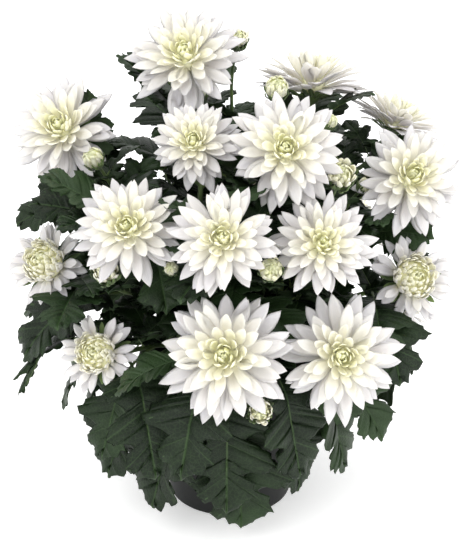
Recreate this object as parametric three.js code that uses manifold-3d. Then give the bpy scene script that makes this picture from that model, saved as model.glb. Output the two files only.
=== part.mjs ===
// A potted chrysanthemum in full flower: five rooted cuttings in a plain plastic pot, each branching into
// leafy shoots that end in white blooms and buds, with the lower leaves hanging over the rim.
// Millimetres, +Z up, origin at the centre of the pot's base, and the side that is looked at faces -Y.
import * as THREE from "three";
import { mergeVertices } from "three/addons/utils/BufferGeometryUtils.js";
import Module from "manifold-3d";

const wasm = await Module();
wasm.setup();

// Pot and soil
const POT = {
  height: 100,
  rimRadius: 58,
  rimDrop: 13,
  rimLip: 2.2,
  baseRadius: 41,
  wall: 1.8,
  base: 2.2,
  sides: 25,
  drainHoles: 4,
  drainRadius: 4,
  drainCircle: 25,
  firstDrain: 45,
};
const SOIL = { top: 90, gap: 0.8, sides: 20 };

// Cuttings: how each stands in the soil, leans out and forks
const CUTTING = {
  count: 5,
  circle: 26,
  firstBearing: 0,
  depth: 32,
  stemRadius: 3.2,
  holeGap: 0.5,
  forkHeight: 122,
  forkReach: 33,
};

// Shoots: each leaves a stem below its bloom and widens into the green cup behind it
const SHOOT = {
  baseRadius: 1.9,
  tipRadius: 1.4,
  sides: 5,
  steps: 3,
  leave: 0.35,
  lowest: 99,
  highest: 240,
  branching: { share: 0.8, samples: 24, rise: 4 },
};
const BUD_SHOOT = 0.75;

// Cups: radius as a share of the head's width, and the shape of their flank as shares of that radius
const CUP = { open: 0.1, young: 0.15, bud: 0.36, waist: 0.8, depth: 0.55, gap: 0.3 };

// Blades are lens-shaped: this thick along their middle, thinning to their edges
const FLORET = { thickness: 1.3, belly: 0.58, bellyTurn: 0.4, cupping: 0.24 };
const LEAF = { thickness: 1.5, stalkWidth: 2.2, fold: 0.2, spread: 0.6 };
const LEAF_ROOTS = { share: 0.86, samples: 30, slack: 12, rise: 2, reach: 0.5 };

// Bearings are degrees round the pot from the front, positive to the right. Lift is degrees above level.
// A bloom stands at a bearing, a reach from the pot's axis and a height, and faces its own bearing and lift.
const BLOOMS = [
  { name: "bloom_front_low", at: [-1, 110, 157], faces: [-6, 30], across: 79 },
  { name: "bloom_front_low_right", at: [35, 114, 148], faces: [8, 28], across: 74 },
  { name: "bloom_front_middle", at: [-2, 95, 225], faces: [-5, 35], across: 65 },
  { name: "bloom_front_high", at: [33, 62, 264], faces: [-4, 33], across: 72 },
  { name: "bloom_front_left", at: [-39, 94, 222], faces: [-4, 38], across: 67 },
  { name: "bloom_front_right", at: [34, 97, 215], faces: [4, 35], across: 62 },
  { name: "bloom_crown", at: [-130, 34, 296], faces: [-12, 45], across: 74 },
  { name: "bloom_right_high", at: [86, 112, 228], faces: [14, 36], across: 69 },
  { name: "bloom_left_high", at: [-98, 105, 251], faces: [-18, 42], across: 72 },
  { name: "bloom_crown_back", at: [138, 80, 263], faces: [170, 72], across: 78 },
  { name: "bloom_inner_left", at: [-29, 43, 262], faces: [-6, 42], across: 56 },
  { name: "bloom_right_back_high", at: [116, 119, 241], faces: [120, 62], across: 62 },
  { name: "bloom_left_young", at: [-76, 117, 179], faces: [-28, 38], across: 56, young: true },
  { name: "bloom_left_low_young", at: [-48, 108, 139], faces: [-18, 32], across: 53, young: true },
  { name: "bloom_right_young", at: [75, 118, 170], faces: [16, 34], across: 58, young: true },
  { name: "bloom_back_left", at: [-143, 110, 150], faces: [-140, 34], across: 72 },
  { name: "bloom_back_middle", at: [176, 108, 176], faces: [178, 38], across: 74 },
  { name: "bloom_back_right", at: [138, 114, 156], faces: [136, 32], across: 68 },
  { name: "bloom_back_left_low", at: [-170, 112, 116], faces: [-168, 26], across: 66 },
  { name: "bloom_back_right_low", at: [158, 114, 110], faces: [158, 24], across: 60, young: true },
  { name: "bloom_side_right", at: [106, 116, 124], faces: [102, 26], across: 60, young: true },
];

// Buds stand the same way; the half-open ones are wider and have a few florets lifting off.
const BUDS = [
  { name: "bud_crown", at: [174, 45, 301], faces: [20, 62], across: 15, open: true },
  { name: "bud_high", at: [62, 32, 288], faces: [10, 60], across: 15 },
  { name: "bud_high_right", at: [85, 61, 264], faces: [60, 60], across: 10 },
  { name: "bud_right", at: [56, 80, 244], faces: [8, 48], across: 21, open: true },
  { name: "bud_left_high", at: [-83, 84, 241], faces: [-40, 55], across: 14 },
  { name: "bud_left", at: [-50, 97, 188], faces: [-12, 52], across: 19, open: true },
  { name: "bud_front_left", at: [-23, 88, 200], faces: [-10, 45], across: 9 },
  { name: "bud_front", at: [15, 93, 203], faces: [4, 42], across: 15 },
  { name: "bud_front_low", at: [10, 104, 116], faces: [6, 25], across: 17, open: true },
  { name: "bud_right_small", at: [80, 84, 225], faces: [70, 50], across: 10 },
  { name: "bud_back_high", at: [-170, 80, 250], faces: [-170, 55], across: 14 },
  { name: "bud_back_right", at: [120, 100, 196], faces: [120, 45], across: 13 },
  { name: "bud_back_left", at: [-150, 92, 205], faces: [-150, 50], across: 14 },
];

// A head is a lattice of `count` points a ring, each ring turned a quarter step from the last, with florets
// drawn out of every second ring. Radii, heights, lengths and widths are shares of the head's radius; pitch is
// a floret's rise at its root and curl its further turn towards the tip, in degrees, and give is how much of a
// bend it takes.
const OPEN_HEAD = {
  count: 8,
  rings: [
    [0.17, 0],
    [0.22, 0.07],
    [0.24, 0.14],
    [0.23, 0.21],
    [0.2, 0.28],
    [0.15, 0.34],
    [0.08, 0.37],
  ],
  apex: 0.34,
  florets: {
    1: { length: 0.8, width: 0.31, pitch: 10, curl: -16, give: 1 },
    3: { length: 0.66, width: 0.28, pitch: 32, curl: -12, give: 0.6 },
    5: { length: 0.38, width: 0.15, pitch: 44, curl: 36, give: 0 },
  },
};
const YOUNG_HEAD = {
  count: 9,
  rings: [
    [0.26, 0],
    [0.36, 0.08],
    [0.42, 0.18],
    [0.42, 0.28],
    [0.37, 0.37],
    [0.27, 0.44],
    [0.14, 0.48],
  ],
  apex: 0.46,
  florets: {
    1: { length: 0.66, width: 0.24, pitch: 12, curl: -18, give: 1 },
    3: { length: 0.28, width: 0.2, pitch: 56, curl: 66, give: 0 },
  },
};
const HALF_OPEN_BUD = {
  count: 6,
  rings: [
    [0.5, 0],
    [0.7, 0.22],
    [0.74, 0.5],
    [0.62, 0.9],
    [0.34, 1.2],
  ],
  apex: 1.3,
  florets: { 1: { length: 1.15, width: 0.55, pitch: 44, curl: 44, give: 0 } },
};
const CLOSED_BUD = {
  count: 7,
  rings: [
    [0.7, 0],
    [1, 0.5],
    [0.82, 1.15],
    [0.36, 1.55],
  ],
  apex: 1.6,
  florets: {},
};
const HEAD_JITTER = { pitch: 5, length: 0.07, seed: 7 };

// A lobed leaf, as shares of its blade's length: where a station stands on the midrib, and its edge point
const LEAF_STATIONS = [
  { rib: 0.0, x: 0.04, y: 0.0 },
  { rib: 0.1, x: 0.34, y: 0.19 },
  { rib: 0.25, x: 0.2, y: 0.34 },
  { rib: 0.36, x: 0.38, y: 0.56 },
  { rib: 0.54, x: 0.17, y: 0.65 },
  { rib: 0.68, x: 0.21, y: 0.86 },
];

// Leaves: each stalk leaves a stem at `height` at the angle `start`, and the leaf arches to the angle `end`
// over the share `arch` of its length. `bearing` is where its blade ends up round the pot. First come those
// that give the outline its shape, one by one.
const OUTLINE_LEAVES = [
  { bearing: 5, height: 104, start: 20, end: -86, arch: 0.46, stalk: 40, blade: 80 },
  { bearing: -32, height: 107, start: 22, end: -86, arch: 0.46, stalk: 40, blade: 78 },
  { bearing: 25, height: 112, start: 28, end: -86, arch: 0.48, stalk: 40, blade: 72 },
  { bearing: -52, height: 106, start: 22, end: -86, arch: 0.46, stalk: 38, blade: 70 },
  { bearing: -81, height: 121, start: 30, end: -66, arch: 0.7, stalk: 40, blade: 68 },
  { bearing: -64, height: 116, start: 26, end: -66, arch: 0.6, stalk: 36, blade: 62 },
  { bearing: -92, height: 142, start: 24, end: -46, arch: 1, stalk: 26, blade: 64, roll: -25 },
  { bearing: -94, height: 186, start: 40, end: -32, arch: 1, stalk: 20, blade: 58, roll: -30 },
  { bearing: -116, height: 232, start: 56, end: 42, arch: 1, stalk: 18, blade: 62, roll: -20 },
  { bearing: -98, height: 212, start: 46, end: 10, arch: 1, stalk: 16, blade: 54, roll: -30 },
  { bearing: -62, height: 200, start: 52, end: 24, arch: 1, stalk: 16, blade: 58, roll: -20 },
  { bearing: 66, height: 112, start: 24, end: -58, arch: 0.7, stalk: 34, blade: 60 },
  { bearing: 86, height: 126, start: 30, end: -60, arch: 0.8, stalk: 30, blade: 60 },
  { bearing: 92, height: 180, start: 30, end: -16, arch: 1, stalk: 12, blade: 52, roll: 25 },
  { bearing: 100, height: 204, start: 54, end: 10, arch: 1, stalk: 12, blade: 52, roll: 25 },
  { bearing: 168, height: 232, start: 64, end: 66, arch: 1, stalk: 12, blade: 50 },
  { bearing: -26, height: 150, start: 16, end: -40, arch: 1, stalk: 18, blade: 58 },
  { bearing: -50, height: 160, start: 20, end: -30, arch: 1, stalk: 18, blade: 58 },
  { bearing: 18, height: 156, start: 20, end: -40, arch: 1, stalk: 16, blade: 54 },
  { bearing: 52, height: 150, start: 20, end: -40, arch: 1, stalk: 18, blade: 56 },
  { bearing: -75, height: 196, start: 40, end: 0, arch: 1, stalk: 16, blade: 56, roll: -25 },
  { bearing: -95, height: 222, start: 84, end: 80, arch: 1, stalk: 10, blade: 46 },
  { bearing: -38, height: 176, start: 24, end: -30, arch: 1, stalk: 14, blade: 46 },
  { bearing: 42, height: 182, start: 24, end: -20, arch: 1, stalk: 12, blade: 46 },
  { bearing: 2, height: 178, start: 20, end: -30, arch: 1, stalk: 12, blade: 46 },
  { bearing: 62, height: 196, start: 44, end: 0, arch: 1, stalk: 12, blade: 48, roll: 20 },
];

// Then tiers from the rim up, nested in each other like shells.
const TIERS = [
  { height: 102, count: 8, shift: 16, start: 22, end: -88, arch: 0.4, stalk: 28, blade: 74 },
  { height: 110, count: 7, shift: -6, start: 28, end: -84, arch: 0.45, stalk: 36, blade: 76 },
  { height: 118, count: 8, shift: 12, start: 32, end: -70, arch: 0.55, stalk: 32, blade: 70 },
  { height: 130, count: 7, shift: -8, start: 30, end: -54, arch: 0.7, stalk: 30, blade: 70 },
  { height: 145, count: 6, shift: 14, start: 30, end: -46, arch: 0.9, stalk: 25, blade: 70 },
  { height: 162, count: 6, shift: -10, start: 34, end: -34, arch: 1, stalk: 23, blade: 66 },
  { height: 180, count: 6, shift: 16, start: 38, end: -20, arch: 1, stalk: 21, blade: 64 },
  { height: 200, count: 6, shift: -2, start: 46, end: -6, arch: 1, stalk: 17, blade: 60 },
  { height: 220, count: 6, shift: 30, start: 50, end: 8, arch: 1, stalk: 14, blade: 56 },
  { height: 242, count: 6, shift: 0, start: 64, end: 36, arch: 1, stalk: 12, blade: 50 },
];
// How far out from the axis a leaf's tip may come: no further than `widest`, and less the lower it hangs
const SPREAD = { middle: -4, widest: 137, foot: 73, slope: 0.72 };
const LEAF_JITTER = { bearing: 5, length: 0.08, end: 6, roll: 12, seed: 20 };

// The open air before each bloom that the leaves stay out of, as shares of its radius and in millimetres
const AIR = { inner: 0.7, outer: 0.9, from: 8, to: 70 };

// What is tried, in turn, to bring a shoot or a blade past its neighbours with this clearance
const CLEARANCE = 0.7;
const SHOOT_WAYS = [];
for (const lead of [0.4, 0.28, 0.55])
  for (const below of [62, 44, 85, 110, 30]) SHOOT_WAYS.push({ lead, below });
const LEAF_BENDS = [];
for (const size of [1, 0.85, 0.7])
  for (const drop of [0, -12, 12, -24, 24, -36])
    for (const turn of [0, 8, -8, 16, -16, 24, -24]) LEAF_BENDS.push({ turn, drop, size });
const FLORET_BENDS = [];
for (const size of [1, 0.86])
  for (const lift of [0, 8, -8, 16, -16, 26]) FLORET_BENDS.push({ lift, size });

const material = (color, roughness) => new THREE.MeshStandardMaterial({ color, roughness, metalness: 0 });
const MATERIALS = {
  pot: material(0x2b2d2c, 0.55),
  soil: material(0x2e2119, 0.95),
  greens: material(0x2c4026, 0.6),
  bloom: material(0xf1efe4, 0.75),
  bud: material(0xe0e3b8, 0.75),
};

const radians = THREE.MathUtils.degToRad;

// A repeatable random number from 0 to 1 for each call.
function seeded(seed) {
  let state = seed;
  return () => {
    state = (Math.imul(state, 1664525) + 1013904223) >>> 0;
    return state / 4294967296;
  };
}

// The point at a bearing, a reach from the axis and a height.
function pointAt(bearing, reach, height) {
  const b = radians(bearing);
  return new THREE.Vector3(reach * Math.sin(b), -reach * Math.cos(b), height);
}

// The unit vector that faces a bearing and a lift.
function facing(bearing, lift) {
  return pointAt(bearing, Math.cos(radians(lift)), Math.sin(radians(lift)));
}

// The bearing of a vector, in degrees.
function bearingOf(v) {
  return THREE.MathUtils.radToDeg(Math.atan2(v.x, -v.y));
}

// The smaller angle between two bearings, in degrees.
function bearingGap(a, b) {
  return Math.abs(((((a - b) % 360) + 540) % 360) - 180);
}

// A closed surface that is put together point by point and face by face.
class Shell {
  points = [];
  faces = [];

  // Adds a list of points and gives their numbers.
  add(list) {
    return list.map((p) => this.points.push(p) - 1);
  }

  // Joins two rings of numbered points, anticlockwise seen from the second, which may be a single tip. Quads
  // are split alike on opposite sides, so that thin blades stay sound.
  band(low, high) {
    low.forEach((a, j) => {
      const b = low[(j + 1) % low.length];
      if (high.length === 1) {
        this.faces.push([a, b, high[0]]);
        return;
      }
      const [d, c] = [high[j], high[(j + 1) % high.length]];
      if (j % 2) this.faces.push([a, b, d], [b, c, d]);
      else this.faces.push([a, b, c], [a, c, d]);
    });
  }

  // Closes a ring with a fan that faces away from the ring's own front.
  floor(ringPoints) {
    for (let j = 1; j + 1 < ringPoints.length; j++)
      this.faces.push([ringPoints[0], ringPoints[j + 1], ringPoints[j]]);
  }

  solid() {
    return new wasm.Manifold(
      new wasm.Mesh({
        numProp: 3,
        vertProperties: new Float32Array(this.points.flatMap((p) => [p.x, p.y, p.z])),
        triVerts: new Uint32Array(this.faces.flat()),
      }),
    );
  }
}

// A solid skinned over rings of points, each anticlockwise seen from the last; a ring of one point is a tip.
function skin(rings) {
  const shell = new Shell();
  const numbered = rings.map((points) => shell.add(points));
  for (let i = 0; i + 1 < rings.length; i++) shell.band(numbered[i], numbered[i + 1]);
  shell.floor(numbered[0]);
  if (rings.at(-1).length > 1) shell.floor([...numbered.at(-1)].reverse());
  return shell.solid();
}

// A three.js geometry as a solid.
function solidOf(geometry) {
  const bare = geometry.index ? geometry.toNonIndexed() : geometry.clone();
  bare.deleteAttribute("normal");
  bare.deleteAttribute("uv");
  const merged = mergeVertices(bare, 1e-3);
  return new wasm.Manifold(
    new wasm.Mesh({
      numProp: 3,
      vertProperties: new Float32Array(merged.attributes.position.array),
      triVerts: new Uint32Array(merged.index.array),
    }),
  );
}

// A solid as a named mesh.
function meshOf(name, solid, look) {
  const { vertProperties, triVerts, numProp, numVert } = solid.getMesh();
  const positions = new Float32Array(numVert * 3);
  for (let i = 0; i < numVert; i++)
    positions.set(vertProperties.subarray(i * numProp, i * numProp + 3), i * 3);
  const geometry = new THREE.BufferGeometry();
  geometry.setAttribute("position", new THREE.BufferAttribute(positions, 3));
  geometry.setIndex(new THREE.BufferAttribute(new Uint32Array(triVerts), 1));
  geometry.computeVertexNormals();
  const mesh = new THREE.Mesh(geometry, look);
  mesh.name = name;
  return mesh;
}

// One solid from many.
function joined(solids) {
  return wasm.Manifold.union(solids);
}

// A frame whose own +Z runs along `axis` from `at`, spun about it by an angle.
function frameOf(at, axis, spin = 0) {
  const turn = new THREE.Quaternion().setFromUnitVectors(new THREE.Vector3(0, 0, 1), axis);
  turn.multiply(new THREE.Quaternion().setFromAxisAngle(new THREE.Vector3(0, 0, 1), spin));
  return new THREE.Matrix4().compose(at, turn, new THREE.Vector3(1, 1, 1));
}

// A ring of `sides` points about the local +Z axis.
function ring(radius, height, sides) {
  const points = [];
  for (let j = 0; j < sides; j++) {
    const a = (j / sides) * 2 * Math.PI;
    points.push(new THREE.Vector3(radius * Math.cos(a), radius * Math.sin(a), height));
  }
  return points;
}

// Solids already placed, with the box round each, to bend later blades clear of.
const placed = [];
function place(owner, solid) {
  placed.push({ owner, solid, box: solid.boundingBox() });
}

// Whether a solid meets nothing that another owner has placed.
function isClear(solid, owner) {
  const { min, max } = solid.boundingBox();
  return !placed.some(
    (other) =>
      other.owner !== owner &&
      [0, 1, 2].every((i) => other.box.min[i] < max[i] && other.box.max[i] > min[i]) &&
      other.solid.intersect(solid).volume() > 0,
  );
}

// The pot: a tapered wall with a rim, and a flat base with drain holes.
function potSolid() {
  const { height, rimRadius, rimDrop, rimLip, baseRadius, wall, base, sides } = POT;
  const slope = (rimRadius - rimLip - baseRadius) / height;
  const profile = [
    [baseRadius - 1, 0],
    [baseRadius, 1],
    [baseRadius + slope * (height - rimDrop), height - rimDrop],
    [rimRadius, height - rimDrop + 1.5],
    [rimRadius, height - 1],
    [rimRadius - 1, height],
    [rimRadius - rimLip - wall, height],
    [baseRadius - wall, base],
  ];
  const wallSolid = skin(profile.map(([radius, z]) => ring(radius, z, sides)));
  const drains = [];
  for (let i = 0; i < POT.drainHoles; i++) {
    const at = pointAt(POT.firstDrain + (360 * i) / POT.drainHoles, POT.drainCircle, base / 2);
    const drain = new THREE.CylinderGeometry(POT.drainRadius, POT.drainRadius, 2 * base, 8);
    drains.push(solidOf(drain.rotateX(Math.PI / 2).translate(at.x, at.y, at.z)));
  }
  return wallSolid.subtract(joined(drains));
}

// A cutting with its main stem, which runs straight from its hole in the soil to the fork.
function startCutting(index) {
  const bearing = CUTTING.firstBearing + (360 * index) / CUTTING.count;
  const foot = pointAt(bearing, CUTTING.circle, SOIL.top - CUTTING.depth);
  const fork = pointAt(bearing, CUTTING.forkReach, CUTTING.forkHeight);
  const line = new THREE.LineCurve3(foot, fork);
  const solid = stemSolid(line, CUTTING.stemRadius, CUTTING.stemRadius * 0.85);
  const name = `cutting_${index + 1}`;
  place(name, solid);
  return { name, bearing, foot, fork, curves: [line], solids: [solid] };
}

// A tapered round stem along a straight line.
function stemSolid(line, startRadius, endRadius) {
  const axis = line.v2.clone().sub(line.v1).normalize();
  const ringAt = (at, radius) => ring(radius, 0, 6).map((p) => p.applyMatrix4(frameOf(at, axis)));
  return skin([ringAt(line.v1, startRadius), ringAt(line.v2, endRadius)]);
}

// The soil, with a plain hole for each cutting.
function soilSolid(stands) {
  const slope = (POT.rimRadius - POT.rimLip - POT.baseRadius) / POT.height;
  const inner = (z) => (POT.baseRadius - POT.wall + slope * z) * Math.cos(Math.PI / POT.sides) - SOIL.gap;
  const low = POT.base + SOIL.gap;
  const body = new THREE.CylinderGeometry(inner(SOIL.top), inner(low), SOIL.top - low, SOIL.sides);
  const soil = solidOf(body.rotateX(Math.PI / 2).translate(0, 0, (SOIL.top + low) / 2));
  const radius = CUTTING.stemRadius + CUTTING.holeGap;
  const holes = stands.map(({ foot, fork }) => {
    const line = new THREE.LineCurve3(foot.clone().lerp(fork, -0.01), fork);
    return stemSolid(line, radius, radius);
  });
  return soil.subtract(joined(holes));
}

// The curve of a shoot from a point on its parent stem to the back of a bloom or bud.
function shootCurve(root, heading, head, axis, lead) {
  const span = root.distanceTo(head);
  return new THREE.CubicBezierCurve3(
    root,
    root.clone().addScaledVector(heading, span * SHOOT.leave),
    head.clone().addScaledVector(axis, -span * lead),
    head,
  );
}

// A shoot with the cup at its end, whose flat top stays just behind the florets.
function shootSolid(curve, head, axis, cupRadius, slim) {
  const rings = [];
  for (let i = 0; i <= SHOOT.steps; i++) {
    const t = i / SHOOT.steps;
    const radius = (SHOOT.baseRadius + (SHOOT.tipRadius - SHOOT.baseRadius) * t) * slim;
    const frame = frameOf(curve.getPoint(t), curve.getTangent(t).normalize());
    rings.push(ring(radius, 0, SHOOT.sides).map((p) => p.applyMatrix4(frame)));
  }
  const frame = frameOf(head, axis);
  for (const [radius, back] of [
    [cupRadius * CUP.waist, cupRadius * CUP.depth],
    [cupRadius, CUP.gap],
  ])
    rings.push(ring(radius, -back, SHOOT.sides).map((p) => p.applyMatrix4(frame)));
  return skin(rings);
}

// The shoot to one bloom or bud: it leaves the nearest stem of its cutting by the first way that is clear.
function growShoot(cutting, spec, cupRadius, slim) {
  const [head, axis] = [pointAt(...spec.at), facing(...spec.faces)];
  const neck = head.clone().addScaledVector(axis, -cupRadius);
  for (const { lead, below } of SHOOT_WAYS) {
    const height = Math.max(SHOOT.lowest, Math.min(head.z - below, SHOOT.highest));
    const { point, tangent } = nearestStemPoint(cutting, neck, height);
    const curve = shootCurve(point, tangent, neck, axis, lead);
    const solid = shootSolid(curve, head, axis, cupRadius, slim);
    if (!isClear(solid, cutting.name)) continue;
    return { curve, solid };
  }
  throw new Error(`no clear way for the shoot of ${spec.name}`);
}

// The middle of a stem at a share of its curve, along the straight stretches that it is skinned in.
function stemPoint(curve, share) {
  const step = Math.min(Math.floor(share * SHOOT.steps), SHOOT.steps - 1);
  const [low, high] = [curve.getPoint(step / SHOOT.steps), curve.getPoint((step + 1) / SHOOT.steps)];
  return low.lerp(high, share * SHOOT.steps - step);
}

// The point at a height on a cutting's stems that is nearest to a target.
function nearestStemPoint(cutting, target, height) {
  const { samples, rise } = SHOOT.branching;
  let best = null;
  for (const curve of cutting.curves)
    for (let i = 0; i <= samples; i++) {
      const share = (i / samples) * SHOOT.branching.share;
      const point = stemPoint(curve, share);
      const cost = point.distanceTo(target) + rise * Math.abs(point.z - height);
      if (!best || cost < best.cost) best = { cost, point, tangent: curve.getTangent(share) };
    }
  return best;
}

// The root of floret `j` on lattice ring `level`: its right, top, left and bottom points.
function floretRoot(head, radius, level, j) {
  return [
    latticePoint(head, radius, level, j + 1),
    latticePoint(head, radius, level + 1, j),
    latticePoint(head, radius, level, j),
    latticePoint(head, radius, level - 1, j + 1),
  ];
}

// A point of a head's lattice, in the head's own frame.
function latticePoint(head, radius, level, j) {
  const a = ((j + level / 4) / head.count) * 2 * Math.PI;
  const [r, z] = head.rings[level];
  return new THREE.Vector3(r * radius * Math.cos(a), r * radius * Math.sin(a), z * radius);
}

// The belly ring and the tip of a floret that is drawn out of its root.
function floretRings(root, spec, radius, bend, extra) {
  const start = root.reduce((sum, p) => sum.add(p), new THREE.Vector3()).divideScalar(4);
  const out = start.clone().setZ(0).normalize();
  const up = new THREE.Vector3(0, 0, 1);
  const side = new THREE.Vector3().crossVectors(up, out);
  const turned = (angle) => [
    out.clone().multiplyScalar(Math.cos(angle)).addScaledVector(up, Math.sin(angle)),
    out.clone().multiplyScalar(-Math.sin(angle)).addScaledVector(up, Math.cos(angle)),
  ];
  const pitch = radians(spec.pitch + bend.lift * spec.give);
  const length = spec.length * radius * bend.size;
  const [ahead, normal] = turned(pitch + radians(spec.curl) * FLORET.bellyTurn);
  const [onward] = turned(pitch + radians(spec.curl));
  const belly = start.clone().addScaledVector(ahead, FLORET.belly * length);
  const tip = belly.clone().addScaledVector(onward, (1 - FLORET.belly) * length + extra);
  const half = (spec.width * radius + extra) / 2;
  const thick = (FLORET.thickness + extra) / 2;
  const cup = half * FLORET.cupping;
  const bellyRing = [
    [half, cup],
    [0, thick],
    [-half, cup],
    [0, -thick],
  ].map(([s, n]) => belly.clone().addScaledVector(side, s).addScaledVector(normal, n));
  return [bellyRing, [tip]];
}

// A head of florets on its lattice; `bendFor` gives each floret's bend, or nothing where there is no room.
function headSolid(head, radius, bendFor) {
  const { count, rings, florets, apex } = head;
  const shell = new Shell();
  const levels = rings.map((_, level) =>
    shell.add(Array.from({ length: count }, (_, j) => latticePoint(head, radius, level, j))),
  );
  const number = (level, j) => levels[level][j % count];
  const drawn = new Set();
  for (const [key, spec] of Object.entries(florets)) {
    const level = Number(key);
    for (let j = 0; j < count; j++) {
      const bend = bendFor(level, j, spec);
      if (!bend) continue;
      drawn.add(`${level} ${j}`);
      const [belly, tip] = floretRings(floretRoot(head, radius, level, j), bend.spec, radius, bend, 0);
      const root = [number(level, j + 1), number(level + 1, j), number(level, j), number(level - 1, j + 1)];
      const bellyNumbers = shell.add(belly);
      shell.band(root, bellyNumbers);
      shell.band(bellyNumbers, shell.add(tip));
    }
  }
  for (let level = 0; level + 1 < rings.length; level++)
    for (let j = 0; j < count; j++) {
      const [a, b] = [number(level, j), number(level, j + 1)];
      const [d, c] = [number(level + 1, j), number(level + 1, j + 1)];
      if (!drawn.has(`${level} ${j}`)) shell.faces.push([a, b, d]);
      if (!drawn.has(`${level + 1} ${j}`)) shell.faces.push([d, b, c]);
    }
  shell.floor(levels[0]);
  shell.band(levels.at(-1), shell.add([new THREE.Vector3(0, 0, apex * radius)]));
  return shell.solid();
}

// Where a bloom or bud stands.
function headFrame(spec) {
  return frameOf(pointAt(...spec.at), facing(...spec.faces), radians(spec.at[0] * 7));
}

// A bloom or bud, each floret varied a little and bent clear of all that is already placed.
function headOf(spec, pattern, random) {
  const radius = spec.across / 2;
  const frame = headFrame(spec);
  const bendFor = (level, j, floret) => {
    const pitch = floret.pitch + (random() * 2 - 1) * HEAD_JITTER.pitch * floret.give;
    const length = floret.length * (1 + (random() * 2 - 1) * HEAD_JITTER.length);
    const varied = { ...floret, pitch, length };
    const root = floretRoot(pattern, radius, level, j);
    const bend = FLORET_BENDS.find((b) => {
      const alone = skin([root, ...floretRings(root, varied, radius, b, CLEARANCE)]);
      return isClear(alone.transform(frame.elements), spec.name);
    });
    return bend && { ...bend, spec: varied };
  };
  const solid = headSolid(pattern, radius, bendFor).transform(frame.elements);
  place(spec.name, solid);
  return solid;
}

// The frame of a leaf's middle line at each distance from its root: its point, the way across and the normal.
function leafFrames(leaf, bend) {
  const stalk = leaf.stalk;
  const blade = leaf.blade * bend.size;
  const [first, last] = [radians(leaf.start), radians(leaf.end + bend.drop)];
  const archLength = leaf.arch * (stalk + blade);
  const curve = (last - first) / archLength;
  const travel = LEAF.spread * (stalk + blade);
  const aim = pointAt(leaf.bearing + bend.turn, Math.hypot(leaf.root.x, leaf.root.y) + travel, leaf.root.z);
  const out = aim.sub(leaf.root).normalize();
  const up = new THREE.Vector3(0, 0, 1);
  return (s) => {
    const a = Math.min(s, archLength);
    const heading = first + curve * a;
    const along = (Math.sin(heading) - Math.sin(first)) / curve + (s - a) * Math.cos(heading);
    const rise = (Math.cos(first) - Math.cos(heading)) / curve + (s - a) * Math.sin(heading);
    const ahead = out.clone().multiplyScalar(Math.cos(heading)).addScaledVector(up, Math.sin(heading));
    const flat = new THREE.Vector3().crossVectors(up, out);
    const roll = radians(leaf.roll) * Math.min(1, s / stalk);
    flat.applyAxisAngle(ahead, roll);
    const normal = new THREE.Vector3().crossVectors(ahead, flat);
    return { at: leaf.root.clone().addScaledVector(out, along).addScaledVector(up, rise), flat, normal };
  };
}

// Whether a leaf's tip keeps within the plant's spread.
function isWithin(tip) {
  return Math.hypot(tip.x - SPREAD.middle, tip.y) <= Math.min(SPREAD.widest, SPREAD.foot + SPREAD.slope * tip.z);
}

// A leaf: a stalk that arches from its shoot, and a lobed blade folded a little along its midrib. Without its
// root it starts half way along the stalk.
function leafSolid(leaf, bend, extra, rooted) {
  const stalk = leaf.stalk;
  const blade = leaf.blade * bend.size;
  const frameAt = leafFrames(leaf, bend);
  const thick = (LEAF.thickness + extra) / 2;
  const stalkEdge = LEAF.stalkWidth / 2;
  const section = (s, x, y, fold) => {
    const middle = frameAt(s);
    const edge = frameAt(y);
    const edgePoint = (way) =>
      edge.at.clone().addScaledVector(edge.flat, way * x).addScaledVector(edge.normal, fold * x);
    return [
      edgePoint(-1),
      middle.at.clone().addScaledVector(middle.normal, -thick),
      edgePoint(1),
      middle.at.clone().addScaledVector(middle.normal, thick),
    ];
  };
  const rings = [];
  if (rooted) rings.push(section(0, stalkEdge, 0, 0));
  if (!rooted || leaf.arch < 1) rings.push(section(stalk / 2, stalkEdge, stalk / 2, 0));
  for (const { rib, x, y } of LEAF_STATIONS)
    rings.push(section(stalk + rib * blade, x * blade + extra / 2, stalk + y * blade, LEAF.fold));
  rings.push([frameAt(stalk + blade + extra / 2).at]);
  return skin(rings);
}

// Where a leaf at a bearing and a height is rooted: on the nearest stem of its cutting.
function leafRoot(cutting, height, bearing) {
  const { share, samples, slack } = LEAF_ROOTS;
  let best = null;
  for (const curve of cutting.curves)
    for (let i = 0; i <= samples; i++) {
      const point = stemPoint(curve, (i / samples) * share);
      const rise = Math.abs(point.z - height);
      const reach = Math.hypot(point.x, point.y);
      const turn = bearingGap(bearingOf(point), bearing);
      const cost = turn + LEAF_ROOTS.rise * rise - LEAF_ROOTS.reach * reach;
      if (rise < slack && (!best || cost < best.cost)) best = { cost, point };
    }
  return best && best.point;
}

// The cutting of a list that stands nearest to a bearing.
function nearestCutting(cuttings, bearing) {
  const gap = (cutting) => bearingGap(cutting.bearing, bearing);
  return cuttings.reduce((best, cutting) => (gap(cutting) < gap(best) ? cutting : best));
}

const plant = new THREE.Group();
plant.name = "potted_chrysanthemum";

const pot = potSolid();
place("pot", pot);
plant.add(meshOf("pot", pot, MATERIALS.pot));

const cuttings = [];
for (let i = 0; i < CUTTING.count; i++) cuttings.push(startCutting(i));
const soil = soilSolid(cuttings);
place("soil", soil);
plant.add(meshOf("soil", soil, MATERIALS.soil));

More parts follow.
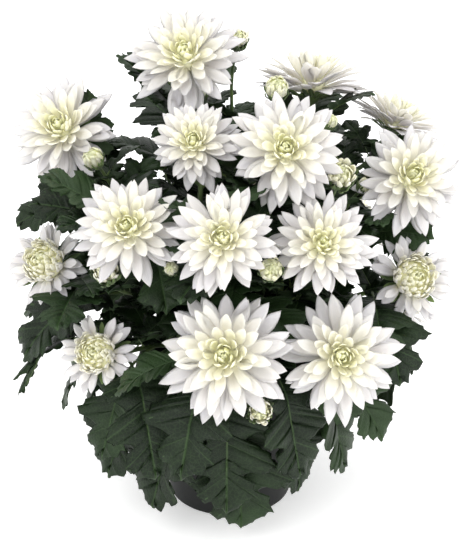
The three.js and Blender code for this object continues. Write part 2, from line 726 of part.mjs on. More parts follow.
// Heads: the bare hearts keep their room first, then florets are drawn out in the room that is left.
for (const spec of BLOOMS) spec.pattern = spec.young ? YOUNG_HEAD : OPEN_HEAD;
for (const spec of BUDS) spec.pattern = spec.open ? HALF_OPEN_BUD : CLOSED_BUD;
for (const spec of [...BLOOMS, ...BUDS]) {
  const heart = headSolid(spec.pattern, spec.across / 2, () => null);
  place(spec.name, heart.transform(headFrame(spec).elements));
}
const headRandom = seeded(HEAD_JITTER.seed);
for (const spec of BLOOMS)
  plant.add(meshOf(spec.name, headOf(spec, spec.pattern, headRandom), MATERIALS.bloom));
for (const spec of BUDS)
  plant.add(meshOf(spec.name, headOf(spec, spec.pattern, headRandom), MATERIALS.bud));

// Shoots, highest first.
const heads = [...BLOOMS, ...BUDS].sort((a, b) => b.at[2] - a.at[2]);
for (const spec of heads) {
  const cutting = nearestCutting(cuttings, spec.at[0]);
  const isBud = BUDS.includes(spec);
  const cupShare = isBud ? CUP.bud : spec.young ? CUP.young : CUP.open;
  const { curve, solid } = growShoot(cutting, spec, spec.across * cupShare, isBud ? BUD_SHOOT : 1);
  if (!isBud) cutting.curves.push(curve);
  cutting.solids.push(solid);
  place(cutting.name, solid);
}

// The open air before each bloom, which the leaves stay out of.
for (const spec of BLOOMS) {
  const radius = spec.across / 2;
  const funnel = skin([ring(AIR.inner * radius, AIR.from, 8), ring(AIR.outer * radius, AIR.to, 8)]);
  place("air", funnel.transform(headFrame(spec).elements));
}

// Leaves: each on the nearest stem of its cutting, bent clear of the rest or left out where there is no room.
const leafRandom = seeded(LEAF_JITTER.seed);
const vary = (range) => (leafRandom() * 2 - 1) * range;
const leaves = OUTLINE_LEAVES.map((leaf) => ({ ...leaf, roll: (leaf.roll ?? 0) + vary(LEAF_JITTER.roll) }));
for (const tier of TIERS)
  for (let i = 0; i < tier.count; i++)
    leaves.push({
      ...tier,
      bearing: tier.shift + (360 * i) / tier.count + vary(LEAF_JITTER.bearing),
      blade: tier.blade * (1 + vary(LEAF_JITTER.length)),
      end: tier.end + vary(LEAF_JITTER.end),
      roll: vary(LEAF_JITTER.roll),
    });
for (const leaf of leaves) {
  const cutting = nearestCutting(cuttings, leaf.bearing);
  leaf.root = leafRoot(cutting, leaf.height, leaf.bearing);
  if (!leaf.root) continue;
  const bend = LEAF_BENDS.find((b) => {
    if (!isWithin(leafFrames(leaf, b)(leaf.stalk + leaf.blade * b.size).at)) return false;
    const free = leafSolid(leaf, b, CLEARANCE, false);
    return isClear(free, "") && isClear(leafSolid(leaf, b, CLEARANCE, true), cutting.name);
  });
  if (!bend) continue;
  const solid = leafSolid(leaf, bend, 0, true);
  place(cutting.name, solid);
  cutting.solids.push(solid);
}

for (const cutting of cuttings) plant.add(meshOf(cutting.name, joined(cutting.solids), MATERIALS.greens));

export default plant;
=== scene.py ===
"""A potted chrysanthemum in full flower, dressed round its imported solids.

Five rooted cuttings stand in a plain plastic pot. Each branches into leafy shoots that end in white
blooms and buds, and the lower leaves hang over the rim. Sizes are millimetres until a mesh is made, and
angles are degrees in tables.
"""

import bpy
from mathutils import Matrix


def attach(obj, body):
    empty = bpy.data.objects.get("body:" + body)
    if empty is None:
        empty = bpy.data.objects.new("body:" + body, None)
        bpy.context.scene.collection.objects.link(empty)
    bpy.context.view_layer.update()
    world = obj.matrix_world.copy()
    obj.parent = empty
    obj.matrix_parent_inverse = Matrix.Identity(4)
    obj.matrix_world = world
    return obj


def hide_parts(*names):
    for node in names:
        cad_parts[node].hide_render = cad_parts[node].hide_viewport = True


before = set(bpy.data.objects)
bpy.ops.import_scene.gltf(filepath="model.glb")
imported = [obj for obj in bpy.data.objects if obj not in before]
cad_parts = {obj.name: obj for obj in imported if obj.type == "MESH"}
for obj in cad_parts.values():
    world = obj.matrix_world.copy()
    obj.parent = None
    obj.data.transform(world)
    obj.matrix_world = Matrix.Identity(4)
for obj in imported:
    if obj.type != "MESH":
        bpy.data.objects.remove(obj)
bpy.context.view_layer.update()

import logging
import math
from collections.abc import Iterable, Iterator, Sequence
from dataclasses import dataclass, field
from enum import Enum

import bmesh
import bpy
import numpy as np
from mathutils import Matrix, Quaternion, Vector
from mathutils.kdtree import KDTree

LOG = logging.getLogger("chrysanthemum")
MM = 0.001
UP = Vector((0, 0, 1))
BODY = "root"
GOLDEN_ANGLE = math.pi * (3 - math.sqrt(5))
TOUCH = 0.12  # a corner of a solid is found again within this
Row = tuple[float, ...]


# The plant's plan: the same sizes and rules as its solids


class Stage(Enum):
    """How far a head has opened."""

    OPEN = "open"
    YOUNG = "young"
    HALF_OPEN = "half open"
    CLOSED = "closed"


@dataclass(frozen=True)
class Ray:
    """A floret of a solid head, in shares of the head's radius and degrees."""

    length: float
    width: float
    pitch: float
    curl: float
    give: float


@dataclass(frozen=True)
class Lattice:
    """The points that a solid head's florets are drawn out of, as rings of (radius, height) shares."""

    count: int
    rings: tuple[Row, ...]
    rays: dict[int, Ray]


LATTICES = {
    Stage.OPEN: Lattice(
        8,
        ((0.17, 0), (0.22, 0.07), (0.24, 0.14), (0.23, 0.21), (0.2, 0.28), (0.15, 0.34), (0.08, 0.37)),
        {1: Ray(0.8, 0.31, 10, -16, 1), 3: Ray(0.66, 0.28, 32, -12, 0.6), 5: Ray(0.38, 0.15, 44, 36, 0)},
    ),
    Stage.YOUNG: Lattice(
        9,
        ((0.26, 0), (0.36, 0.08), (0.42, 0.18), (0.42, 0.28), (0.37, 0.37), (0.27, 0.44), (0.14, 0.48)),
        {1: Ray(0.66, 0.24, 12, -18, 1), 3: Ray(0.28, 0.2, 56, 66, 0)},
    ),
    Stage.HALF_OPEN: Lattice(
        6,
        ((0.5, 0), (0.7, 0.22), (0.74, 0.5), (0.62, 0.9), (0.34, 1.2)),
        {1: Ray(1.15, 0.55, 44, 44, 0)},
    ),
    Stage.CLOSED: Lattice(7, ((0.7, 0), (1, 0.5), (0.82, 1.15), (0.36, 1.55)), {}),
}
HEAD_JITTER_PITCH, HEAD_JITTER_LENGTH, HEAD_SEED = 5, 0.07, 7
BELLY, BELLY_TURN = 0.58, 0.4
FLORET_BENDS = [(size, lift) for size in (1, 0.86) for lift in (0, 8, -8, 16, -16, 26)]
CUP_SHARE = {Stage.OPEN: 0.1, Stage.YOUNG: 0.15, Stage.HALF_OPEN: 0.36, Stage.CLOSED: 0.36}
CUP_WAIST, CUP_DEPTH, CUP_GAP = 0.8, 0.55, 0.3


@dataclass(frozen=True)
class Head:
    """A bloom or a bud: its bearing, reach and height, the bearing and lift that it faces, and its width."""

    name: str
    at: Row
    faces: Row
    across: float
    stage: Stage = Stage.OPEN

    @property
    def radius(self) -> float:
        """Half the head's width."""
        return self.across / 2

    @property
    def middle(self) -> Vector:
        """Where the head's base stands."""
        return point_at(*self.at)

    @property
    def axis(self) -> Vector:
        """The way that the head faces."""
        bearing, lift = self.faces
        return point_at(bearing, math.cos(math.radians(lift)), math.sin(math.radians(lift)))

    @property
    def place(self) -> Matrix:
        """The head's own frame in the row frame, with +Z along its axis."""
        turn = UP.rotation_difference(self.axis) @ Quaternion(UP, math.radians(self.at[0] * 7))
        return Matrix.Translation(self.middle) @ turn.to_matrix().to_4x4()

    @property
    def is_bud(self) -> bool:
        """Whether the head is a bud."""
        return self.stage in (Stage.HALF_OPEN, Stage.CLOSED)

    @property
    def cup(self) -> float:
        """The radius of the green cup behind the head."""
        return self.across * CUP_SHARE[self.stage]


# the places of the 15 blooms and 10 buds that the photo shows were worked out from where they stand in it
BLOOMS = (
    Head("bloom_front_low", (-1, 110, 157), (-6, 30), 79),
    Head("bloom_front_low_right", (35, 114, 148), (8, 28), 74),
    Head("bloom_front_middle", (-2, 95, 225), (-5, 35), 65),
    Head("bloom_front_high", (33, 62, 264), (-4, 33), 72),
    Head("bloom_front_left", (-39, 94, 222), (-4, 38), 67),
    Head("bloom_front_right", (34, 97, 215), (4, 35), 62),
    Head("bloom_crown", (-130, 34, 296), (-12, 45), 74),
    Head("bloom_right_high", (86, 112, 228), (14, 36), 69),
    Head("bloom_left_high", (-98, 105, 251), (-18, 42), 72),
    Head("bloom_crown_back", (138, 80, 263), (170, 72), 78),
    Head("bloom_inner_left", (-29, 43, 262), (-6, 42), 56),
    Head("bloom_right_back_high", (116, 119, 241), (120, 62), 62),
    Head("bloom_left_young", (-76, 117, 179), (-28, 38), 56, Stage.YOUNG),
    Head("bloom_left_low_young", (-48, 108, 139), (-18, 32), 53, Stage.YOUNG),
    Head("bloom_right_young", (75, 118, 170), (16, 34), 58, Stage.YOUNG),
    Head("bloom_back_left", (-143, 110, 150), (-140, 34), 72),
    Head("bloom_back_middle", (176, 108, 176), (178, 38), 74),
    Head("bloom_back_right", (138, 114, 156), (136, 32), 68),
    Head("bloom_back_left_low", (-170, 112, 116), (-168, 26), 66),
    Head("bloom_back_right_low", (158, 114, 110), (158, 24), 60, Stage.YOUNG),
    Head("bloom_side_right", (106, 116, 124), (102, 26), 60, Stage.YOUNG),
)
BUDS = (
    Head("bud_crown", (174, 45, 301), (20, 62), 15, Stage.HALF_OPEN),
    Head("bud_high", (62, 32, 288), (10, 60), 15, Stage.CLOSED),
    Head("bud_high_right", (85, 61, 264), (60, 60), 10, Stage.CLOSED),
    Head("bud_right", (56, 80, 244), (8, 48), 21, Stage.HALF_OPEN),
    Head("bud_left_high", (-83, 84, 241), (-40, 55), 14, Stage.CLOSED),
    Head("bud_left", (-50, 97, 188), (-12, 52), 19, Stage.HALF_OPEN),
    Head("bud_front_left", (-23, 88, 200), (-10, 45), 9, Stage.CLOSED),
    Head("bud_front", (15, 93, 203), (4, 42), 15, Stage.CLOSED),
    Head("bud_front_low", (10, 104, 116), (6, 25), 17, Stage.HALF_OPEN),
    Head("bud_right_small", (80, 84, 225), (70, 50), 10, Stage.CLOSED),
    Head("bud_back_high", (-170, 80, 250), (-170, 55), 14, Stage.CLOSED),
    Head("bud_back_right", (120, 100, 196), (120, 45), 13, Stage.CLOSED),
    Head("bud_back_left", (-150, 92, 205), (-150, 50), 14, Stage.CLOSED),
)


@dataclass(frozen=True)
class LeafPlan:
    """A leaf before it is rooted: its bearing, where it leaves a stem, its slopes, and its lengths."""

    bearing: float
    height: float
    start: float
    end: float
    arch: float
    stalk: float
    blade: float
    roll: float = 0.0


OUTLINE_LEAVES = (
    (5, 104, 20, -86, 0.46, 40, 80, 0),
    (-32, 107, 22, -86, 0.46, 40, 78, 0),
    (25, 112, 28, -86, 0.48, 40, 72, 0),
    (-52, 106, 22, -86, 0.46, 38, 70, 0),
    (-81, 121, 30, -66, 0.7, 40, 68, 0),
    (-64, 116, 26, -66, 0.6, 36, 62, 0),
    (-92, 142, 24, -46, 1, 26, 64, -25),
    (-94, 186, 40, -32, 1, 20, 58, -30),
    (-116, 232, 56, 42, 1, 18, 62, -20),
    (-98, 212, 46, 10, 1, 16, 54, -30),
    (-62, 200, 52, 24, 1, 16, 58, -20),
    (66, 112, 24, -58, 0.7, 34, 60, 0),
    (86, 126, 30, -60, 0.8, 30, 60, 0),
    (92, 180, 30, -16, 1, 12, 52, 25),
    (100, 204, 54, 10, 1, 12, 52, 25),
    (168, 232, 64, 66, 1, 12, 50, 0),
    (-26, 150, 16, -40, 1, 18, 58, 0),
    (-50, 160, 20, -30, 1, 18, 58, 0),
    (18, 156, 20, -40, 1, 16, 54, 0),
    (52, 150, 20, -40, 1, 18, 56, 0),
    (-75, 196, 40, 0, 1, 16, 56, -25),
    (-95, 222, 84, 80, 1, 10, 46, 0),
    (-38, 176, 24, -30, 1, 14, 46, 0),
    (42, 182, 24, -20, 1, 12, 46, 0),
    (2, 178, 20, -30, 1, 12, 46, 0),
    (62, 196, 44, 0, 1, 12, 48, 20),
)
# height, count, shift, start, end, arch, stalk, blade
TIERS = (
    (102, 8, 16, 22, -88, 0.4, 28, 74),
    (110, 7, -6, 28, -84, 0.45, 36, 76),
    (118, 8, 12, 32, -70, 0.55, 32, 70),
    (130, 7, -8, 30, -54, 0.7, 30, 70),
    (145, 6, 14, 30, -46, 0.9, 25, 70),
    (162, 6, -10, 34, -34, 1, 23, 66),
    (180, 6, 16, 38, -20, 1, 21, 64),
    (200, 6, -2, 46, -6, 1, 17, 60),
    (220, 6, 30, 50, 8, 1, 14, 56),
    (242, 6, 0, 64, 36, 1, 12, 50),
)
LEAF_JITTER_BEARING, LEAF_JITTER_LENGTH, LEAF_JITTER_END, LEAF_JITTER_ROLL, LEAF_SEED = 5, 0.08, 6, 12, 20
LEAF_BENDS = [
    (turn, drop, size)
    for size in (1, 0.85, 0.7)
    for drop in (0, -12, 12, -24, 24, -36)
    for turn in (0, 8, -8, 16, -16, 24, -24)
]
LARGE_SEED, SMALL_SEED, SHOOT_SEED, FLORET_SEED = 300, 400, 500, 100
LEAF_SPREAD = 0.6
LEAF_FOLD = 0.2


def point_at(bearing: float, reach: float, height: float) -> Vector:
    """The point at a bearing from the front, a reach from the pot's axis and a height."""
    angle = math.radians(bearing)
    return Vector((reach * math.sin(angle), -reach * math.cos(angle), height))


def bearing_gap(first: float, second: float) -> float:
    """The smaller angle between two bearings."""
    return abs((first - second + 180) % 360 - 180)


def seeded(seed: int) -> Iterator[float]:
    """Repeatable random numbers from 0 to 1, the same as the solids were varied with.

    Args:
        seed: The first state.

    Yields:
        One number a draw.
    """
    state = seed
    while True:
        state = (state * 1664525 + 1013904223) % 4294967296
        yield state / 4294967296


class Corners:
    """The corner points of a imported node, in which the bends that its pieces took are found again."""

    def __init__(self, node: str) -> None:
        """Reads the node's points.

        Args:
            node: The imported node's name.
        """
        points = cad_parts[node].data.vertices
        self.tree = KDTree(len(points))
        for number, vertex in enumerate(points):
            self.tree.insert(vertex.co / MM, number)
        self.tree.balance()

    def has(self, point: Vector) -> bool:
        """Whether the node has a corner at a point."""
        return self.tree.find(point)[2] < TOUCH


# Node trees


class Amount:
    """A number inside a node tree that is worked with like a plain one."""

    def __init__(self, tree: bpy.types.NodeTree, socket: bpy.types.NodeSocket) -> None:
        """Wraps an output."""
        self.tree, self.socket = tree, socket

    def worked(self, operation: str, *others: "Amount | float") -> "Amount":
        """Another amount, made from this one by a Math node.

        Args:
            operation: The node's operation.
            others: What else goes into it.

        Returns:
            The node's result.
        """
        node = self.tree.nodes.new("ShaderNodeMath")
        node.operation = operation
        for plug, value in zip(node.inputs, (self, *others)):
            if isinstance(value, Amount):
                self.tree.links.new(value.socket, plug)
            else:
                plug.default_value = value
        return Amount(self.tree, node.outputs[0])

    def __add__(self, other: "Amount | float") -> "Amount":
        """The sum."""
        return self.worked("ADD", other)

    def __sub__(self, other: "Amount | float") -> "Amount":
        """The difference."""
        return self.worked("SUBTRACT", other)

    def __mul__(self, other: "Amount | float") -> "Amount":
        """The product."""
        return self.worked("MULTIPLY", other)

    def __truediv__(self, other: "Amount | float") -> "Amount":
        """The quotient."""
        return self.worked("DIVIDE", other)

    def least(self, other: "Amount | float") -> "Amount":
        """The smaller of the two."""
        return self.worked("MINIMUM", other)

    def most(self, other: "Amount | float") -> "Amount":
        """The larger of the two."""
        return self.worked("MAXIMUM", other)

    def sin(self) -> "Amount":
        """The sine."""
        return self.worked("SINE")

    def cos(self) -> "Amount":
        """The cosine."""
        return self.worked("COSINE")

    def size(self) -> "Amount":
        """The amount without its sign."""
        return self.worked("ABSOLUTE")

    def eased(self, low: float, high: float) -> "Amount":
        """The amount's way from one level to another, eased at both ends, as 0 to 1.

        Args:
            low: Where it is 0.
            high: Where it is 1.

        Returns:
            The eased share.
        """
        node = self.tree.nodes.new("ShaderNodeMapRange")
        node.interpolation_type = "SMOOTHSTEP"
        self.tree.links.new(self.socket, node.inputs["Value"])
        node.inputs["From Min"].default_value = low
        node.inputs["From Max"].default_value = high
        return Amount(self.tree, node.outputs["Result"])


class Grower:
    """A Geometry Nodes tree that grows a mesh out of another, with named inputs."""

    def __init__(self, name: str) -> None:
        """Starts the tree with its geometry input and output.

        Args:
            name: The tree's name.
        """
        self.tree = bpy.data.node_groups.new(name, "GeometryNodeTree")
        self.tree.is_modifier = True
        self.identifiers: dict[str, str] = {}
        for way in ("INPUT", "OUTPUT"):
            self.tree.interface.new_socket("Geometry", in_out=way, socket_type="NodeSocketGeometry")
        self.inputs = self.tree.nodes.new("NodeGroupInput")
        self.output = self.tree.nodes.new("NodeGroupOutput")

    def node(self, kind: str, **settings: object) -> bpy.types.Node:
        """A new node.

        Args:
            kind: The node's type.
            settings: Properties to set on it.

        Returns:
            The node.
        """
        made = self.tree.nodes.new(kind)
        for name, value in settings.items():
            setattr(made, name, value)
        return made

    def link(self, start: bpy.types.NodeSocket, end: bpy.types.NodeSocket) -> None:
        """Links two sockets."""
        self.tree.links.new(start, end)

    def asked(self, name: str, kind: str) -> bpy.types.NodeSocket:
        """A named input of the tree.

        Args:
            name: The input's name.
            kind: Its socket type, without the common start.

        Returns:
            The input as it comes out of the group's input node.
        """
        socket = self.tree.interface.new_socket(name, in_out="INPUT", socket_type=f"NodeSocket{kind}")
        self.identifiers[name] = socket.identifier
        return self.inputs.outputs[name]

    def read(self, name: str, kind: str = "FLOAT") -> bpy.types.NodeSocket:
        """A named attribute of the mesh.

        Args:
            name: The attribute's name.
            kind: Its data type.

        Returns:
            The attribute's socket.
        """
        node = self.node("GeometryNodeInputNamedAttribute", data_type=kind)
        node.inputs["Name"].default_value = name
        return node.outputs["Attribute"]

    def amount(self, name: str) -> Amount:
        """A named attribute as an amount."""
        return Amount(self.tree, self.read(name))

    def chained(self, *nodes: bpy.types.Node) -> bpy.types.NodeSocket:
        """Links nodes one after another by their first sockets.

        Args:
            nodes: The nodes in order.

        Returns:
            The last one's first output.
        """
        for before, after in zip(nodes, nodes[1:]):
            self.link(before.outputs[0], after.inputs[0])
        return nodes[-1].outputs[0]

    def ended(self, last: bpy.types.Node) -> None:
        """Ends the tree: real faces, smooth, in the material that its input names.

        Args:
            last: The node whose first output goes to the tree's end.
        """
        smooth = self.node("GeometryNodeSetShadeSmooth")
        dressed = self.node("GeometryNodeSetMaterial")
        self.link(self.asked("Material", "Material"), dressed.inputs["Material"])
        self.chained(last, self.node("GeometryNodeRealizeInstances"), smooth, dressed)
        self.link(dressed.outputs[0], self.output.inputs[0])

    def grown(self, name: str, start: bpy.types.Mesh, **values: object) -> bpy.types.Mesh:
        """Runs the tree on a mesh.

        Args:
            name: The new mesh's name.
            start: The mesh that it grows out of.
            values: The tree's inputs by name, with _ for a space.

        Returns:
            The grown mesh.
        """
        holder = bpy.data.objects.new(name, start)
        bpy.context.scene.collection.objects.link(holder)
        modifier = holder.modifiers.new("grower", "NODES")
        modifier.node_group = self.tree
        for key, value in values.items():
            modifier[self.identifiers[key.replace("_", " ")]] = value
        view = bpy.context.evaluated_depsgraph_get()
        made = bpy.data.meshes.new_from_object(holder.evaluated_get(view), depsgraph=view)
        made.name = name
        bpy.data.objects.remove(holder)
        bpy.data.meshes.remove(start)
        return made


class BladeGrower(Grower):
    """Grows arched blades, one a point: florets, bud scales, bracts and leaves.

    A blade runs straight for its lead, turns by its bend for its arc and then runs straight again.
    """

    SHAPE = ("stalk", "length", "width", "thickness", "fold", "cup", "lead", "arc", "first", "bend", "roll")
    PLACE = ("azimuth", "root_x", "root_y", "root_z")

    def __init__(self) -> None:
        """Builds the tree."""
        super().__init__("arched blades")
        blades = self.node("GeometryNodeJoinGeometry")
        for letter in "ABC":
            info = self.node("GeometryNodeObjectInfo")
            info.inputs["As Instance"].default_value = True
            self.link(self.asked(f"Blade {letter}", "Object"), info.inputs["Object"])
            self.link(info.outputs["Geometry"], blades.inputs[0])
        spread = self.node("GeometryNodeInstanceOnPoints")
        spread.inputs["Pick Instance"].default_value = True
        self.link(self.inputs.outputs["Geometry"], spread.inputs["Points"])
        self.link(blades.outputs[0], spread.inputs["Instance"])
        self.link(self.read("variant", "INT"), spread.inputs["Instance Index"])
        real = self.node("GeometryNodeRealizeInstances")
        bent = self.node("GeometryNodeSetPosition")
        self.chained(spread, real, bent)
        self.link(self.bent_position(), bent.inputs["Position"])
        self.ended(bent)

    def bent_position(self) -> bpy.types.NodeSocket:
        """Where each point of a flat blade goes when the blade is arched, rolled and put in its place.

        Returns:
            The position.
        """
        flat = self.node("ShaderNodeSeparateXYZ")
        self.link(self.node("GeometryNodeInputPosition").outputs[0], flat.inputs[0])
        along, across, through = (Amount(self.tree, socket) for socket in flat.outputs)
        stalk, length, width, thickness, fold, cup, *arch = map(self.amount, self.SHAPE)
        lead, arc, first, bend, roll = arch
        azimuth, root_x, root_y, root_z = map(self.amount, self.PLACE)
        way = stalk + along * length
        before = way.least(lead)
        turning = (way - lead).most(0.0).least(arc)
        after = way - before - turning
        heading = first + bend * turning
        forward = before * first.cos() + (heading.sin() - first.sin()) / bend + after * heading.cos()
        rise = before * first.sin() + (first.cos() - heading.cos()) / bend + after * heading.sin()
        sideways = across * width
        height = through * thickness + fold * sideways.size() + cup * width * across * across
        tilt = sideways * roll.sin() + height * roll.cos()
        out = forward - tilt * heading.sin()
        side = sideways * roll.cos() - height * roll.sin()
        place = self.node("ShaderNodeCombineXYZ")
        parts = (
            root_x + out * azimuth.cos() - side * azimuth.sin(),
            root_y + out * azimuth.sin() + side * azimuth.cos(),
            root_z + rise + tilt * heading.cos(),
        )
        for part, plug in zip(parts, place.inputs):
            self.link((part * MM).socket, plug)
        return place.outputs[0]

    def blades(
        self,
        name: str,
        kinds: Sequence[bpy.types.Object],
        finish: bpy.types.Material,
        points: dict[str, np.ndarray],
    ) -> bpy.types.Mesh:
        """Grows one blade a point.

        Args:
            name: The mesh's name.
            kinds: Three flat blades.
            finish: Their material.
            points: What each blade is like, by attribute name.

        Returns:
            The blades as one mesh.
        """
        count = len(points["azimuth"])
        start = bpy.data.meshes.new(name)
        start.from_pydata(np.zeros((count, 3)).tolist(), [], [])
        for key in (*self.SHAPE, *self.PLACE, "ripeness", "shade"):
            values = np.broadcast_to(np.asarray(points.get(key, 0.0), np.float32), count)
            write_attribute(start, key, values)
        kind = start.attributes.new("variant", "INT", "POINT")
        kind.data.foreach_set("value", np.arange(count, dtype=np.int32) % len(kinds))
        made = self.grown(name, start, Blade_A=kinds[0], Blade_B=kinds[1], Blade_C=kinds[2], Material=finish)
        for key in (*self.SHAPE, *self.PLACE, "variant"):
            made.attributes.remove(made.attributes[key])
        return made


class StemGrower(Grower):
    """Grows round stems along lines, as thick as each point's radius says."""

    SIDES = 9

    def __init__(self) -> None:
        """Builds the tree."""
        super().__init__("stems")
        lines = self.node("GeometryNodeMeshToCurve")
        sized = self.node("GeometryNodeSetCurveRadius")
        tube = self.node("GeometryNodeCurveToMesh")
        tube.inputs["Fill Caps"].default_value = True
        section = self.node("GeometryNodeCurvePrimitiveCircle", mode="RADIUS")
        self.link(self.asked("Sides", "Int"), section.inputs["Resolution"])
        section.inputs["Radius"].default_value = 1.0
        self.link(self.inputs.outputs["Geometry"], lines.inputs[0])
        self.link(self.read("radius"), sized.inputs["Radius"])
        self.link(self.read("radius"), tube.inputs["Scale"])
        self.link(section.outputs[0], tube.inputs["Profile Curve"])
        self.chained(lines, sized, tube)
        self.ended(tube)

    def stems(self, name: str, finish: bpy.types.Material, paths: Iterable["Path"]) -> bpy.types.Mesh:
        """Grows one stem a path.

        Args:
            name: The mesh's name.
            finish: Their material.
            paths: The lines to follow.

        Returns:
            The stems as one mesh.
        """
        points: list[Vector] = []
        edges: list[tuple[int, int]] = []
        radii: list[float] = []
        for path in paths:
            edges += [(len(points) + i, len(points) + i + 1) for i in range(len(path.points) - 1)]
            points += [p * MM for p in path.points]
            radii += [r * MM for r in path.radii]
        start = bpy.data.meshes.new(name)
        start.from_pydata(points, edges, [])
        write_attribute(start, "radius", np.array(radii, np.float32))
        return self.grown(name, start, Sides=self.SIDES, Material=finish)


# Meshes


@dataclass
class Path:
    """A line with a radius at each of its points."""

    points: list[Vector]
    radii: list[float]


def write_attribute(mesh: bpy.types.Mesh, name: str, values: np.ndarray) -> None:
    """Stores one number a point on a mesh."""
    layer = mesh.attributes.new(name, "FLOAT", "POINT")
    layer.data.foreach_set("value", np.ascontiguousarray(values, np.float32))


def mesh_of(name: str, points: Iterable[Sequence[float]], faces: Sequence[Sequence[int]]) -> bpy.types.Mesh:
    """A smooth mesh from its points and faces.

    Args:
        name: Its name.
        points: The points.
        faces: The faces, as point numbers.

    Returns:
        The mesh.
    """
    mesh = bpy.data.meshes.new(name)
    mesh.from_pydata([tuple(p) for p in points], [], faces, shade_flat=False)
    return mesh


def turned(profile: Sequence[Row], sides: int) -> tuple[list[Row], list[list[int]]]:
    """A shape turned about the upright axis.

    Args:
        profile: (radius, height) from the axis back to the axis, outside first, bottom up.
        sides: How many sides it gets.

    Returns:
        Its points and faces.
    """
    points: list[Row] = []
    rings: list[list[int]] = []
    for radius, height in profile:
        count = sides if radius > 0 else 1
        rings.append(list(range(len(points), len(points) + count)))
        for j in range(count):
            angle = 2 * math.pi * j / sides
            points.append((radius * math.cos(angle), radius * math.sin(angle), height))
    faces: list[list[int]] = []
    for low, high in zip(rings, rings[1:]):
        for j in range(sides):
            corners = ((low, j), (low, j + 1), (high, j + 1), (high, j))
            kept = list(dict.fromkeys(ring[k % len(ring)] for ring, k in corners))
            if len(kept) > 2:
                faces.append(kept)
    return points, faces


def joined(name: str, meshes: Sequence[bpy.types.Mesh]) -> bpy.types.Mesh:
    """One mesh from several, with their attributes and materials.

    Args:
        name: The new mesh's name.
        meshes: What goes into it. They are used up.

    Returns:
        The mesh.
    """
    finishes = list(dict.fromkeys(m for mesh in meshes for m in mesh.materials))
    whole = bmesh.new()
    for mesh in meshes:
        numbers = [finishes.index(m) for m in mesh.materials]
        before = len(whole.faces)
        whole.from_mesh(mesh)
        whole.faces.ensure_lookup_table()
        for face in whole.faces[before:]:
            face.material_index = numbers[face.material_index] if numbers else 0
    made = bpy.data.meshes.new(name)
    whole.to_mesh(made)
    whole.free()
    for finish in finishes:
        made.materials.append(finish)
    for mesh in meshes:
        bpy.data.meshes.remove(mesh)
    return made


def piece(mesh: bpy.types.Mesh, slot: str, *nodes: str) -> bpy.types.Object:
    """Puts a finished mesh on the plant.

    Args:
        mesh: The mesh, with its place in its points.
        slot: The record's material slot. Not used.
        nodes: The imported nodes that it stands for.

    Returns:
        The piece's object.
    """
    thing = bpy.data.objects.new(mesh.name, mesh)
    bpy.context.scene.collection.objects.link(thing)
    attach(thing, BODY)
    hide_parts(*nodes)
    LOG.info("%s: %d faces", mesh.name, len(mesh.polygons))
    return thing


def kept_flat(mesh: bpy.types.Mesh) -> bpy.types.Object:
    """An object for a flat blade that growers copy, and that is no piece itself."""
    return bpy.data.objects.new(mesh.name, mesh)


# Finishes


def paint(red: int, green: int, blue: int) -> tuple[float, float, float, float]:
    """A colour from its screen values.

    Args:
        red: 0 to 255.
        green: 0 to 255.
        blue: 0 to 255.

    Returns:
        The linear colour with full opacity.
    """
    shares = [value / 255 for value in (red, green, blue)]
    linear = [c / 12.92 if c <= 0.04045 else ((c + 0.055) / 1.055) ** 2.4 for c in shares]
    return (*linear, 1.0)


